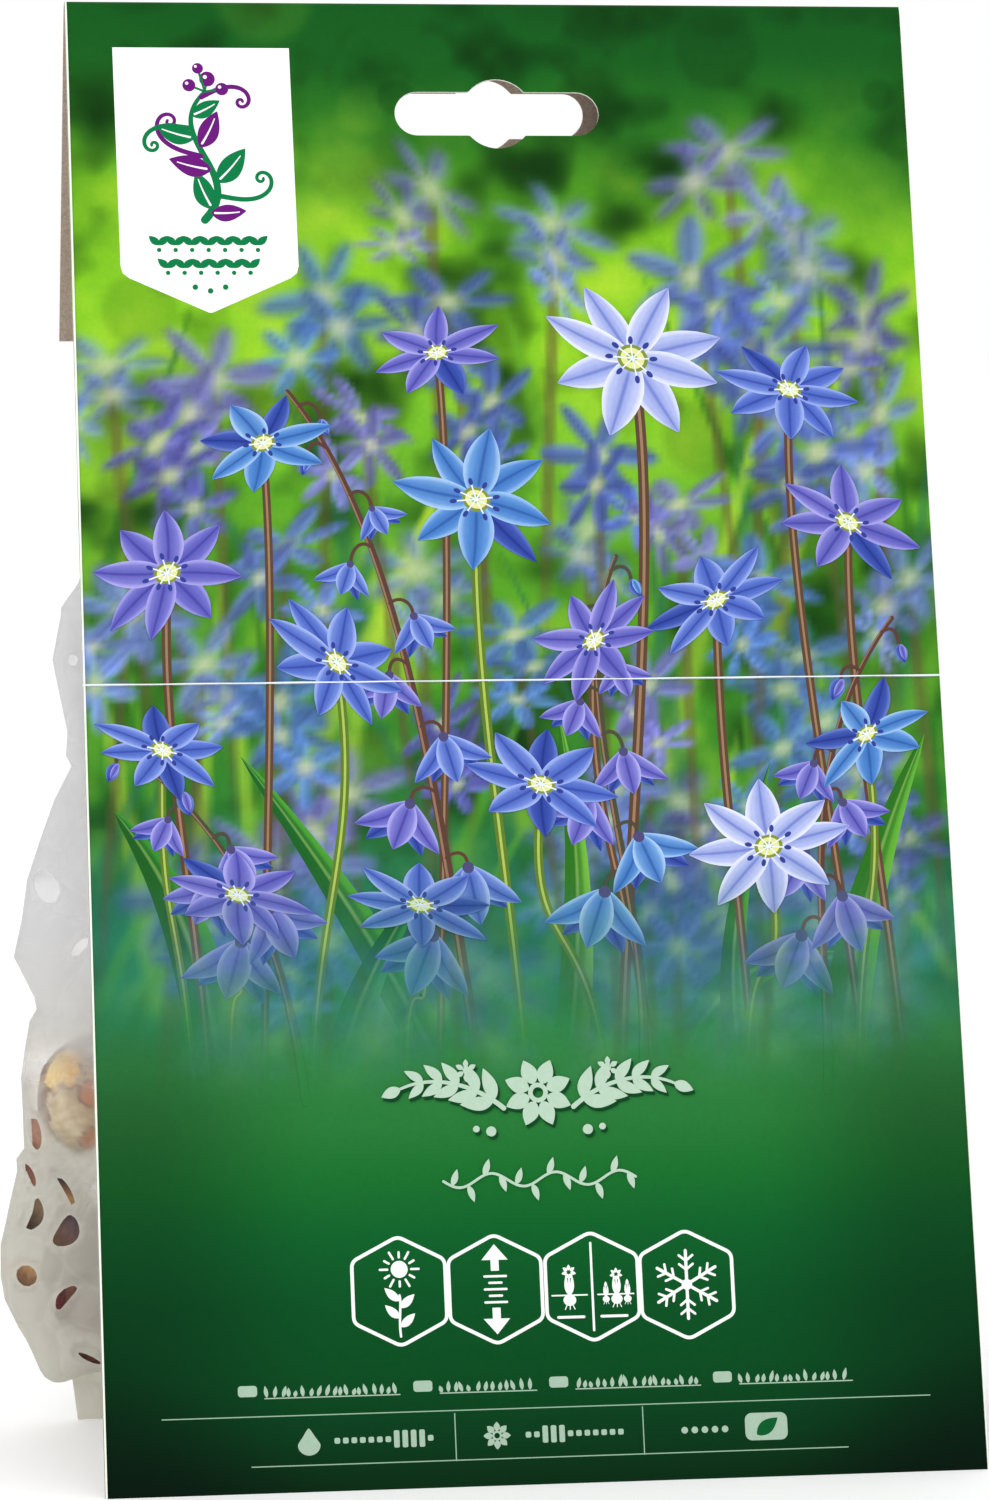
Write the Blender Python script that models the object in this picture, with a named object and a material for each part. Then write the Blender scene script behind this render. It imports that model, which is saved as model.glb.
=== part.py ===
# Retail packet of small flower bulbs, standing on its own.
# A folded header card leans back on a frosted film bag, and the bag holds ten bulbs.
# Metres, +Z up, +Y to the back. The origin is on the ground, under the middle of the packet's box.
import bpy
import bmesh
import numpy as np
from math import cos, pi, radians, sin, sqrt, tan

MM = 0.001

# The box of the packet is centred on the origin, and the card's bottom edge is this far from it.
CARD_X = 3.2 * MM
CARD_Y = -37.9 * MM

# Header card: one sheet of board, folded once, with a hanging slot through both leaves
CARD_WIDTH = 130.0 * MM
FRONT_HEIGHT = 226.75 * MM
BOARD = 0.5 * MM
FRONT_LEAN = radians(17.33)
FOLD_RADIUS = 1.2 * MM
FLAP_LENGTH = 51.0 * MM
FLAP_FLARE = radians(6.9)
FLAP_SKEW = -0.7 * MM
FOLD_STEPS = 8
SLOT_WIDTH = 31.6 * MM
SLOT_HEIGHT = 7.0 * MM
SLOT_EYE_RADIUS = 5.55 * MM
SLOT_DROP = 17.5 * MM
FLAP_SLOT_SHIFT = -1.2 * MM
SCORE_DROP = 107.0 * MM
SCORE_WIDTH = 0.5 * MM
SCORE_DEPTH = 0.12 * MM

# Film bag, hung from the flap by an adhesive strip
GAP = 0.3 * MM
FILM = 0.6 * MM
FLAT_HALF = 0.1 * MM
STRIP_THICK = 0.35 * MM
STRIP_WIDTH = 112.0 * MM
STRIP_LOW = 176.0 * MM
STRIP_HIGH = 186.0 * MM
WELD_HEIGHT = 8.0 * MM
BAND_LOW = 163.0 * MM
BAND_HIGH = 190.0 * MM
# Outlines of the crumpled sides: (height, distance from the card's middle) in mm
LEFT_SIDE = ((0, -65.6), (8.0, -66.6), (8.8, -69.4), (9.6, -71.1), (12, -72.7), (15, -74.6), (21, -77.0),
             (31, -77.5), (40, -75.2), (42, -74.1), (53, -74.3), (62, -73.0), (65, -72.0), (73, -75.2),
             (85, -73.2), (97, -69.0), (102, -66.6), (107, -67.2), (118, -69.2), (126, -67.6),
             (131, -65.0), (150, -61.0), (163, -60.0), (190, -60.0))
RIGHT_SIDE = ((0, 65.0), (8.0, 65.6), (8.8, 66.6), (10, 67.6), (14, 69.4), (22, 70.8), (38, 71.0),
              (47, 68.8), (60, 70.2), (74, 69.0), (88, 66.6), (96, 67.8), (112, 66.0), (128, 64.0),
              (150, 61.0), (163, 60.0), (190, 60.0))
# The sides' mean lines, which the film between them follows
MEAN_LEFT = ((0, -65.6), (8, -67), (20, -75), (40, -75), (70, -73), (100, -69), (130, -66), (163, -60), (190, -60))
MEAN_RIGHT = ((0, 65.0), (8, 66), (20, 70), (40, 70), (70, 69), (100, 67), (130, 64), (163, 60), (190, 60))
# Depth of the bag's middle plane and half its fullness, by height, in mm
MIDDLE = ((0, 51.0), (8, 51.0), (20, 48.0), (32, 46.5), (60, 47.5), (80, 50.5), (100, 55.0), (130, 63.0), (150, 69.5))
FULLNESS = ((8, 0.1), (8.8, 1.8), (10, 4.6), (12, 7.6), (16, 11.0), (22, 13.4), (30, 14.4), (42, 14.4), (58, 13.8),
            (76, 12.0), (98, 9.4), (120, 5.6), (140, 2.6), (155, 0.8), (163, 0.1))
# The skirt's foot bows to the back, most in the middle of its width, fading out at the pouch above it
SKIRT_BOW = 8.0 * MM
SKIRT_REACH = 65.0 * MM
BOW_TOP = 8.8 * MM
PILLOW_POWER = 6.0
NOTCH_REACH = 0.14
# Creases of the crumpled film: turn, spacing, phase and height of each family of straight folds
CREASES = ((0.35, 31.0, 0.10, 0.75), (1.25, 23.0, 0.62, 0.60), (2.15, 27.0, 0.35, 0.60), (2.80, 17.0, 0.81, 0.35))
COLUMNS = 26
CELL = 5.6 * MM
CAVITY_ROW = 3
CAVITY_TOP = 152.0 * MM
VENT_RADIUS = 2.4 * MM
VENT_TOP = 140.0 * MM
VENT_STEP = 4

# Bulbs: a tunic with a flat base plate and a dry neck, measured in body radii from the widest ring
BULB_COUNT = 10
BULB_RADIUS = 10.1 * MM
BULB_SPREAD = 0.07
BULB_SEED = 7
BULB_SIDES = 18
BULB_PROFILE = ((-0.93, 0.30), (-0.84, 0.47), (-0.62, 0.76), (-0.32, 0.95), (0.0, 1.0), (0.32, 0.93), (0.60, 0.75),
                (0.84, 0.50), (1.02, 0.27), (1.20, 0.16), (1.42, 0.12))
# Balls that stand for a bulb while the pile settles: height along the axis and radius, in body radii
BULB_BALLS = ((0.0, 1.0), (0.55, 0.56), (1.0, 0.28), (1.28, 0.18))
PILE_START = ((-63, 22), (-41, 22), (-19, 22), (3, 22), (25, 22), (47, 22), (-53, 41), (-30, 40), (-7, 39), (-62, 59))
SETTLE_STEPS = 400
FALL = 0.06 * MM
CLEAR = 0.2 * MM


def curve(table, height):
    """Value of a (height, value) table in mm at heights in metres, in metres."""
    rows = np.array(table, float) * MM
    return np.interp(height, rows[:, 0], rows[:, 1])


def material(name, color, roughness, alpha=1.0):
    made = bpy.data.materials.new(name)
    made.use_nodes = True
    shader = made.node_tree.nodes["Principled BSDF"]
    shader.inputs["Base Color"].default_value = (*color, 1.0)
    shader.inputs["Roughness"].default_value = roughness
    shader.inputs["Alpha"].default_value = alpha
    return made


def mesh_object(name, points, faces, finish, parent, smooth=False):
    mesh = bpy.data.meshes.new(name)
    mesh.from_pydata([tuple(map(float, p)) for p in points], [], faces)
    work = bmesh.new()
    work.from_mesh(mesh)
    bmesh.ops.recalc_face_normals(work, faces=work.faces)
    work.to_mesh(mesh)
    work.free()
    made = bpy.data.objects.new(name, mesh)
    bpy.context.collection.objects.link(made)
    made.parent = parent
    if finish:
        made.data.materials.append(finish)
    if smooth:
        mesh.shade_smooth()
        mesh.set_sharp_from_angle(angle=radians(40))
    return made


# ---- header card ----

def card_frame():
    """The fold's centre and the outward normals of the front leaf and the flap, in the YZ plane."""
    front_normal = np.array([-cos(FRONT_LEAN), sin(FRONT_LEAN)])
    flap_normal = np.array([cos(FLAP_FLARE), sin(FLAP_FLARE)])
    up = np.array([sin(FRONT_LEAN), cos(FRONT_LEAN)])
    straight = FRONT_HEIGHT - FOLD_RADIUS
    centre = up * straight - front_normal * FOLD_RADIUS
    return centre, front_normal, flap_normal, up


def card_section():
    """Closed outline of the folded sheet in the YZ plane, round the outside and back inside."""
    centre, front_normal, flap_normal, up = card_frame()
    down = np.array([sin(FLAP_FLARE), -cos(FLAP_FLARE)])
    start = pi - FRONT_LEAN
    turns = np.linspace(start, FLAP_FLARE, FOLD_STEPS + 1)
    ring = np.column_stack([np.cos(turns), np.sin(turns)])
    outer = centre + ring * FOLD_RADIUS
    inner = centre + ring * (FOLD_RADIUS - BOARD)
    score = FRONT_HEIGHT - SCORE_DROP
    score_low = up * (score - SCORE_WIDTH / 2)
    score_deep = up * score - front_normal * SCORE_DEPTH
    score_high = up * (score + SCORE_WIDTH / 2)
    foot_back = np.array([BOARD / cos(FRONT_LEAN), 0.0])
    outline = [np.zeros(2), score_low, score_deep, score_high, *outer, outer[-1] + down * FLAP_LENGTH]
    outline += [inner[-1] + down * FLAP_LENGTH, *inner[::-1], foot_back]
    return np.array(outline), len(outer) + 4


def slot_outline():
    """Hanging slot: a bar with round ends and a round eye across its middle, in the slot's own plane."""
    half = SLOT_HEIGHT / 2
    end = SLOT_WIDTH / 2 - half
    notch = sqrt(SLOT_EYE_RADIUS ** 2 - half ** 2)
    notch_turn = np.arctan2(half, notch)
    side = np.linspace(-pi / 2, pi / 2, 9)
    eye = np.linspace(notch_turn, pi - notch_turn, 9)
    right = np.column_stack([end + half * np.cos(side), half * np.sin(side)])
    top = SLOT_EYE_RADIUS * np.column_stack([np.cos(eye), np.sin(eye)])
    return np.vstack([right, top, -right, -top])


def slot_cutter(name, middle, normal, shift, parent):
    """A prism of the slot's outline, standing across one leaf of the card."""
    shape = slot_outline()
    up = np.array([-normal[1], normal[0]])
    reach = 3 * MM
    points = []
    for side in (-reach, reach):
        for x, v in shape:
            y, z = middle + up * v + normal * side
            points.append((x + shift, y, z))
    count = len(shape)
    faces = [tuple(range(count)), tuple(range(2 * count - 1, count - 1, -1))]
    faces += [(i, i + count, (i + 1) % count + count, (i + 1) % count) for i in range(count)]
    cutter = mesh_object(name, points, faces, None, parent)
    cutter.hide_render = True
    cutter.display_type = "WIRE"
    return cutter


def make_card(parent):
    section, flap_from = card_section()
    centre, front_normal, flap_normal, up = card_frame()
    count = len(section)
    points = []
    for side in (-1, 1):
        for index, (y, z) in enumerate(section):
            below_fold = max(0.0, centre[1] - z) if flap_from <= index <= flap_from + 1 else 0.0
            points.append((side * CARD_WIDTH / 2 + FLAP_SKEW * below_fold / FLAP_LENGTH, y, z))
    faces = [tuple(range(count)), tuple(range(2 * count - 1, count - 1, -1))]
    faces += [(i, (i + 1) % count, (i + 1) % count + count, i + count) for i in range(count)]
    finish = material("printed_board", (0.03, 0.19, 0.05), 0.42)
    card = mesh_object("card", points, faces, finish, parent)
    front_middle = up * (FRONT_HEIGHT - SLOT_DROP) - front_normal * BOARD / 2
    down = np.array([sin(FLAP_FLARE), -cos(FLAP_FLARE)])
    flap_middle = centre + flap_normal * (FOLD_RADIUS - BOARD / 2) + down * (SLOT_DROP - FOLD_RADIUS)
    cutters = (slot_cutter("front_slot_cutter", front_middle, front_normal, 0.0, parent),
               slot_cutter("flap_slot_cutter", flap_middle, flap_normal, FLAP_SLOT_SHIFT, parent))
    for cutter in cutters:
        cut = card.modifiers.new(cutter.name, "BOOLEAN")
        cut.operation = "DIFFERENCE"
        cut.object = cutter
    return card


# ---- film bag ----

def flap_inner(height):
    """Depth of the flap's inner face at a height."""
    centre, front_normal, flap_normal, up = card_frame()
    start = centre + flap_normal * (FOLD_RADIUS - BOARD)
    return start[0] + (start[1] - height) * tan(FLAP_FLARE)


def band_middle(height):
    """Depth of the flat top band's middle, which lies on the strip under the flap."""
    return flap_inner(height) - GAP - STRIP_THICK - GAP - FILM / 2 - FLAT_HALF


def middle_plane(height):
    low = curve(MIDDLE, height)
    blend = np.clip((height - 150 * MM) / (BAND_LOW - 150 * MM), 0, 1)
    return low * (1 - blend) + band_middle(height) * blend


def crumple(x, z, side):
    """Straight creases: each family is a triangle wave across its own direction, bent a little by a sine."""
    total = np.zeros(np.broadcast(x, z).shape)
    for turn, spacing, phase, height in CREASES:
        along = (x * cos(turn) + z * sin(turn)) / (spacing * MM)
        bend = 0.22 * np.sin((z * cos(turn) - x * sin(turn)) / (19 * MM) + phase * 9)
        wave = along + bend + phase + 0.37 * side
        total = total + height * MM * (4 * np.abs(wave - np.floor(wave + 0.5)) - 1)
    return total


def film_surface(columns, heights):
    """Middle of the film as rings of points: front from left to right, then back from right to left.

    Across, a point stands between the two side lines, pulled in near a notch of the crumpled side.
    Deep, it stands half the fullness from the middle plane, less towards the sides like a pillow.
    The foot of the skirt bows to the back between its ends, which is what the packet stands on.
    """
    share = np.linspace(-1, 1, columns + 1)
    across = 0.6 * share + 0.4 * np.sin(pi / 2 * share)
    front = across
    back = across[-2:0:-1]
    ring = np.concatenate([front, back])[None, :]
    side = np.concatenate([-np.ones(columns + 1), np.ones(columns - 1)])[None, :]
    z = np.asarray(heights)[:, None]
    left, right = curve(MEAN_LEFT, z), curve(MEAN_RIGHT, z)
    x = left + (right - left) * (ring + 1) / 2
    x = x + (curve(LEFT_SIDE, z) - left) * np.exp(-(ring + 1) / NOTCH_REACH)
    x = x + (curve(RIGHT_SIDE, z) - right) * np.exp(-(1 - ring) / NOTCH_REACH)
    half = curve(FULLNESS, z)
    pillow = np.sqrt(np.clip(1 - np.abs(ring) ** PILLOW_POWER, 0, 1))
    loose = np.clip(half / (6 * MM), 0, 1) * pillow
    bow = SKIRT_BOW * np.clip(1 - (x / SKIRT_REACH) ** 2, 0, 1) * np.clip(1 - z / BOW_TOP, 0, 1)
    y = middle_plane(z) + bow + side * (half * pillow + crumple(x, z, side) * loose)
    return np.stack(np.broadcast_arrays(x, y, z), axis=-1)


def surface_normals(grid):
    """Outward unit normals of the rings, from the steps to the neighbours on both sides."""
    round_step = np.roll(grid, -1, axis=1) - np.roll(grid, 1, axis=1)
    up_step = np.gradient(grid, axis=0)
    normal = np.cross(round_step, up_step)
    return normal / np.linalg.norm(normal, axis=2, keepdims=True)


def refine(grid, parts):
    """Adds points on the straight lines between the rings' points, so that the facets stay as they are."""
    rows = np.linspace(0, len(grid) - 1, (len(grid) - 1) * parts + 1)
    low = np.minimum(rows.astype(int), len(grid) - 2)
    share = (rows - low)[:, None, None]
    grid = grid[low] * (1 - share) + grid[low + 1] * share
    shares = np.arange(parts)[:, None] / parts
    steps = grid[:, :, None] * (1 - shares) + np.roll(grid, -1, axis=1)[:, :, None] * shares
    return steps.reshape(len(grid), -1, 3)


def bag_heights():
    flare = np.array([8.0, 8.8, 10.2, 12.4, 15.6, 20.0]) * MM
    belly = np.linspace(flare[-1], BAND_LOW, int((BAND_LOW - flare[-1]) / CELL) + 1)[1:]
    band = np.linspace(BAND_LOW, BAND_HIGH, 4)[1:]
    return np.concatenate([[0.0], flare, belly, band])


class Shell:
    """Collects the points and faces of the bag's outer and inner surfaces."""

    def __init__(self):
        self.points = []
        self.faces = []

    def add(self, points):
        first = len(self.points)
        self.points.extend(points)
        return first

    def strip(self, ring, columns, upward):
        """Closes a flat ring by joining its front to its back."""
        for j in range(columns):
            front = [ring[j], ring[j + 1]]
            back = [ring[(2 * columns - j - 1) % (2 * columns)], ring[(2 * columns - j) % (2 * columns)]]
            face = list(dict.fromkeys(front + back))
            self.faces.append(tuple(face if upward else face[::-1]))


def vent_centres(heights, lowest, highest):
    """Grid places of the vent holes: every few cells on the front and the back, staggered by row."""
    rows = [k for k in range(lowest + 2, highest - 1) if (k - lowest) % VENT_STEP == 2]
    found = []
    for order, k in enumerate(rows):
        if heights[k] > VENT_TOP:
            continue
        offset = 2 + (order % 2) * (VENT_STEP // 2)
        for j in range(offset + 1, COLUMNS - 1, VENT_STEP):
            found += [(k, j), (k, 2 * COLUMNS - j)]
    return found


def make_bag(parent):
    heights = bag_heights()
    middle = film_surface(COLUMNS, heights)
    normals = surface_normals(middle)
    outer = middle + normals * FILM / 2
    inner = middle - normals * FILM / 2
    outer[0, :, 2] = 0.0
    outer[-1, :, 2] = BAND_HIGH
    ring = 2 * COLUMNS
    lowest = CAVITY_ROW
    highest = int(np.searchsorted(heights, CAVITY_TOP))
    vents = vent_centres(heights, lowest, highest)
    around = ((-1, -1), (-1, 0), (-1, 1), (0, 1), (1, 1), (1, 0), (1, -1), (0, -1))
    cut_cells = {(k + dk, (j + dj) % ring) for k, j in vents for dk in (-1, 0) for dj in (-1, 0)}
    shell = Shell()
    sides = []
    for surface, first_row, last_row in ((outer, 0, len(heights) - 1), (inner, lowest, highest)):
        base = shell.add(surface.reshape(-1, 3))
        place = np.arange(surface.shape[0] * ring).reshape(-1, ring) + base
        for k in range(first_row, last_row):
            for j in range(ring):
                if (k, j) in cut_cells:
                    continue
                quad = (place[k, j], place[k, (j + 1) % ring], place[k + 1, (j + 1) % ring], place[k + 1, j])
                shell.faces.append(tuple(int(i) for i in (quad if surface is outer else quad[::-1])))
        rims = []
        for k, j in vents:
            centre = surface[k, j]
            corners = [(k + dk, (j + dj) % ring) for dk, dj in around]
            rim = []
            for corner in corners:
                step = surface[corner] - centre
                rim.append(centre + step * VENT_RADIUS / np.linalg.norm(step))
            first = shell.add(rim)
            for n in range(len(around)):
                m = (n + 1) % len(around)
                quad = (int(place[corners[n]]), int(place[corners[m]]), first + m, first + n)
                shell.faces.append(quad if surface is outer else quad[::-1])
            rims.append(first)
        shell.strip([int(i) for i in place[first_row]], COLUMNS, surface is inner)
        shell.strip([int(i) for i in place[last_row]], COLUMNS, surface is outer)
        sides.append(rims)
    for first_outer, first_inner in zip(*sides):
        for n in range(len(around)):
            m = (n + 1) % len(around)
            shell.faces.append((first_outer + n, first_outer + m, first_inner + m, first_inner + n))
    used = sorted({i for face in shell.faces for i in face})
    renumber = {old: new for new, old in enumerate(used)}
    faces = [tuple(renumber[i] for i in face) for face in shell.faces]
    points = [shell.points[i] for i in used]
    finish = material("frosted_film", (0.62, 0.62, 0.58), 0.35, 0.55)
    return mesh_object("bag", points, faces, finish, parent, smooth=True)


def make_strip(parent):
    """Adhesive strip between the flap's inner face and the bag's flat band, lying along the flap."""
    points = []
    for thick in (0.0, STRIP_THICK):
        for height in (STRIP_LOW, STRIP_HIGH):
            y = flap_inner(height) - GAP - thick
            points += [(-STRIP_WIDTH / 2, y, height), (STRIP_WIDTH / 2, y, height)]
    faces = [(0, 1, 3, 2), (4, 6, 7, 5), (0, 4, 5, 1), (2, 3, 7, 6), (0, 2, 6, 4), (1, 5, 7, 3)]
    finish = material("clear_adhesive", (0.70, 0.66, 0.52), 0.30)
    return mesh_object("adhesive_strip", points, faces, finish, parent)


# ---- bulbs ----

def unit(vectors):
    return vectors / np.linalg.norm(vectors, axis=-1, keepdims=True)


def settle_pile(radii, axes):
    """Lets the bulbs sink into the bag until they lie on the film and each other.

    Each bulb is a row of balls. In each step it falls, less and less, then every ball that reaches into
    another ball or past the film is pushed back, which also turns its bulb.
    """
    heights = bag_heights()
    film = film_surface(COLUMNS, heights)
    inner = film - surface_normals(film) * FILM / 2
    inner = refine(inner[(heights > WELD_HEIGHT) & (heights < 110 * MM)], 4)
    outward = surface_normals(inner).reshape(-1, 3)
    wall = inner.reshape(-1, 3)
    starts = np.array(PILE_START, float) * MM
    middles = np.column_stack([starts[:, 0], middle_plane(starts[:, 1]), starts[:, 1]])
    reach = np.array([ball[0] for ball in BULB_BALLS])
    size = np.array([ball[1] for ball in BULB_BALLS])
    count = len(radii)
    owner = np.repeat(np.arange(count), len(reach))
    arm = (radii[:, None] * reach).ravel()
    ball = (radii[:, None] * size).ravel()
    apart = owner[:, None] != owner[None, :]
    for step in range(SETTLE_STEPS):
        middles[:, 2] -= FALL * (1 - step / SETTLE_STEPS)
        centres = middles[owner] + axes[owner] * arm[:, None]
        between = centres[:, None] - centres[None, :]
        distance = np.linalg.norm(between, axis=2) + 1e-9
        deep = np.clip(ball[:, None] + ball[None, :] + CLEAR - distance, 0, None) * apart
        push = (between / distance[..., None] * deep[..., None] * 0.5).sum(axis=1)
        nearest = np.linalg.norm(centres[:, None] - wall[None, :], axis=2).argmin(axis=1)
        inside = ((wall[nearest] - centres) * outward[nearest]).sum(axis=1)
        push -= outward[nearest] * np.clip(ball + CLEAR - inside, 0, None)[:, None]
        push[:, 2] += np.clip(ball + CLEAR - (centres[:, 2] - heights[CAVITY_ROW]), 0, None)
        for index in range(count):
            mine = owner == index
            middles[index] += push[mine].sum(axis=0) * 0.6
            axes[index] += (push[mine] * arm[mine, None]).sum(axis=0) * 0.5 / radii[index] ** 2
        axes = unit(axes)
    return middles, axes


def bulb_mesh(radius, middle, axis, draw):
    """A turned profile, slightly oval across."""
    turns = np.arange(BULB_SIDES) * 2 * pi / BULB_SIDES
    oval = draw.uniform(0.97, 1.0)
    helper = np.array([0.0, 0.0, 1.0]) if abs(axis[2]) < 0.9 else np.array([1.0, 0.0, 0.0])
    first = unit(np.cross(axis, helper))
    second = np.cross(axis, first)
    points = []
    for height, width in BULB_PROFILE:
        for turn in turns:
            flat = first * width * cos(turn) + second * width * oval * sin(turn)
            points.append(middle + radius * (axis * height + flat))
    rings = len(BULB_PROFILE)
    faces = [tuple(range(BULB_SIDES - 1, -1, -1))]
    for k in range(rings - 1):
        for j in range(BULB_SIDES):
            n = (j + 1) % BULB_SIDES
            low = k * BULB_SIDES
            faces.append((low + j, low + n, low + BULB_SIDES + n, low + BULB_SIDES + j))
    faces.append(tuple((rings - 1) * BULB_SIDES + j for j in range(BULB_SIDES)))
    return points, faces


def make_bulbs(parent):
    draw = np.random.default_rng(BULB_SEED)
    radii = BULB_RADIUS * (1 + draw.uniform(-BULB_SPREAD, BULB_SPREAD, BULB_COUNT))
    axes = unit(draw.normal(size=(BULB_COUNT, 3)) * (1.0, 0.35, 0.6) + (0.0, 0.0, 0.5))
    middles, axes = settle_pile(radii, axes)
    for index in range(BULB_COUNT):
        points, faces = bulb_mesh(radii[index], middles[index], axes[index], draw)
        finish = material(f"bulb_tunic_{index + 1:02d}", (0.20, 0.085, 0.045), 0.55)
        mesh_object(f"bulb_{index + 1:02d}", points, faces, finish, parent, smooth=True)


def main():
    for old in list(bpy.data.objects):
        bpy.data.objects.remove(old, do_unlink=True)
    packet = bpy.data.objects.new("packet", None)
    bpy.context.collection.objects.link(packet)
    packet.location = (CARD_X, CARD_Y, 0.0)
    make_card(packet)
    make_bag(packet)
    make_strip(packet)
    make_bulbs(packet)


main()
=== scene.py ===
import bpy
import numpy as np
from math import atan2, cos, pi, radians, sin, tan
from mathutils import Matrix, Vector
from mathutils.geometry import delaunay_2d_cdt


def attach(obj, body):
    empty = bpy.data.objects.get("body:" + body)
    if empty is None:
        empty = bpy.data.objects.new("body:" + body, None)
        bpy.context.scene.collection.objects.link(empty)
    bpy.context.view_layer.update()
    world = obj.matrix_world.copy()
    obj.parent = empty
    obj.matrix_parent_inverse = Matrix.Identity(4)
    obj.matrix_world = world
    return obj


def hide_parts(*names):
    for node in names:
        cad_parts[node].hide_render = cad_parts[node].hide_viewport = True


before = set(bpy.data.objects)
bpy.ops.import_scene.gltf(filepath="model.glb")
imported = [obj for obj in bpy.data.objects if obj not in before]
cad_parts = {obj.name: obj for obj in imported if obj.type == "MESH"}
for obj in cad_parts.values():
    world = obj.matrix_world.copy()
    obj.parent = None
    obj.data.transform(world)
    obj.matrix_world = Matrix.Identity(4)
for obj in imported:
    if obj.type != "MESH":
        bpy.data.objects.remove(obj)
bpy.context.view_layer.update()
print("frame loaded")

# Shapes below are worked out in mm from the middle of the card's bottom edge, with x to the right,
# y to the back and z up. toWorld moves them to the frame's own place, in metres.
mm = 0.001
cardPlace = np.array([3.2, -37.9, 0.0])


def toWorld(points):
    return (np.asarray(points, float) + cardPlace) * mm


def toCard(points):
    return np.asarray(points, float) / mm - cardPlace


# ---- small tools ----

def srgb(hexText):
    return np.array([int(hexText[i:i + 2], 16) for i in (1, 3, 5)]) / 255


def toLinear(color):
    # sRGB values to linear light
    color = np.clip(color, 0, 1)
    return np.where(color <= 0.04045, color / 12.92, ((color + 0.055) / 1.055) ** 2.4)


def linear(hexText):
    return toLinear(srgb(hexText))


def smooth(low, high, value):
    # 0 below low, 1 above high, an S curve between
    t = np.clip((value - low) / (high - low), 0, 1)
    return t * t * (3 - 2 * t)


def curve(table, at):
    # the value at a place in a table of (place, value) rows
    rows = np.array(table, float)
    return np.interp(at, rows[:, 0], rows[:, 1])


def unit(vectors):
    return vectors / np.linalg.norm(vectors, axis=-1, keepdims=True)


def turned(a, b, turn, place=(0, 0)):
    # the point that lies a along a direction and b across it, seen from a place
    return place[0] + a * cos(turn) - b * sin(turn), place[1] + a * sin(turn) + b * cos(turn)


def addNode(tree, kind, values=None, links=None, **settings):
    made = tree.nodes.new(kind)
    for name, value in settings.items():
        setattr(made, name, value)
    for socket, value in (values or {}).items():
        made.inputs[socket].default_value = value
    for socket, source in (links or {}).items():
        tree.links.new(source, made.inputs[socket])
    return made


def setRamp(rampNode, stops):
    ramp = rampNode.color_ramp
    while len(ramp.elements) < len(stops):
        ramp.elements.new(0.5)
    for element, (place, color) in zip(ramp.elements, stops):
        element.position = place
        element.color = (*color, 1.0)
    return rampNode


def newMaterial(name):
    made = bpy.data.materials.new(name)
    made.use_nodes = True
    tree = made.node_tree
    return made, tree, tree.nodes["Principled BSDF"]


def addNoise(tree, place, scale, detail=2.0, **values):
    # noise fixed to the piece, scale in waves per metre
    return addNode(tree, "ShaderNodeTexNoise", {"Scale": scale, "Detail": detail, **values},
                   {"Vector": place.outputs["Object"]})


def addRange(tree, source, low, high, start=0.0, end=1.0):
    # start where the source is low, end where it is high, and even steps between
    bounds = {"From Min": low, "From Max": high, "To Min": start, "To Max": end}
    return addNode(tree, "ShaderNodeMapRange", bounds, {"Value": source}).outputs["Result"]


def addRamp(tree, source, stops):
    ramp = addNode(tree, "ShaderNodeValToRGB", links={"Fac": source})
    return setRamp(ramp, stops).outputs["Color"]


def grainyColor(tree, shader, layer, scale, detail, spread, strength, depth):
    # a piece's stored colour, made lighter and darker by a fine noise that also roughens its surface
    stored = addNode(tree, "ShaderNodeVertexColor", layer_name=layer)
    place = addNode(tree, "ShaderNodeTexCoord")
    fibre = addNoise(tree, place, scale, detail).outputs["Fac"]
    level = addRange(tree, fibre, 0.3, 0.7, 1 - spread, 1 + spread)
    tone = addNode(tree, "ShaderNodeHueSaturation", {"Saturation": 1.0},
                   {"Color": stored.outputs["Color"], "Value": level})
    bump = addNode(tree, "ShaderNodeBump", {"Strength": strength, "Distance": depth}, {"Height": fibre})
    tree.links.new(tone.outputs["Color"], shader.inputs["Base Color"])
    tree.links.new(bump.outputs["Normal"], shader.inputs["Normal"])


def gridFaces(rows, columns, wrap=False):
    # two triangles for each cell of a grid of points; wrap joins the last column to the first
    last = columns if wrap else columns - 1
    row, column = np.meshgrid(np.arange(rows - 1), np.arange(last), indexing="ij")
    right = (column + 1) % columns
    a, b = row * columns + column, row * columns + right
    c, d = (row + 1) * columns + right, (row + 1) * columns + column
    return np.concatenate([np.stack([a, b, c], -1).reshape(-1, 3), np.stack([a, c, d], -1).reshape(-1, 3)])


def fanFaces(hub, first, second):
    # one triangle from the hub to each pair of point numbers
    return np.stack([np.full(len(first), hub), first, second], -1)


def clipFaces(points, faces, level):
    # keeps the side where level is above 0: each crossed edge gets one new point at the crossing
    inside = level > 0
    count = inside[faces].sum(axis=1)
    kept = faces[count == 3]
    newPoints, newFaces, edgeIndex = [], [], {}

    def crossing(a, b):
        key = (a, b) if a < b else (b, a)
        if key not in edgeIndex:
            share = level[a] / (level[a] - level[b])
            edgeIndex[key] = len(points) + len(newPoints)
            newPoints.append(points[a] + (points[b] - points[a]) * share)
        return edgeIndex[key]

    for face in faces[(count == 1) | (count == 2)]:
        flags = inside[face]
        turn = int(np.argmax(flags)) if flags.sum() == 1 else int(np.argmin(flags))
        a, b, c = (int(face[(turn + i) % 3]) for i in range(3))
        if flags.sum() == 1:
            newFaces.append((a, crossing(a, b), crossing(a, c)))
        else:
            low, high = crossing(a, b), crossing(a, c)
            newFaces += [(low, b, c), (low, c, high)]
    if newPoints:
        points = np.concatenate([points, np.array(newPoints)])
        kept = np.concatenate([kept, np.array(newFaces)])
    return points, kept


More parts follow.
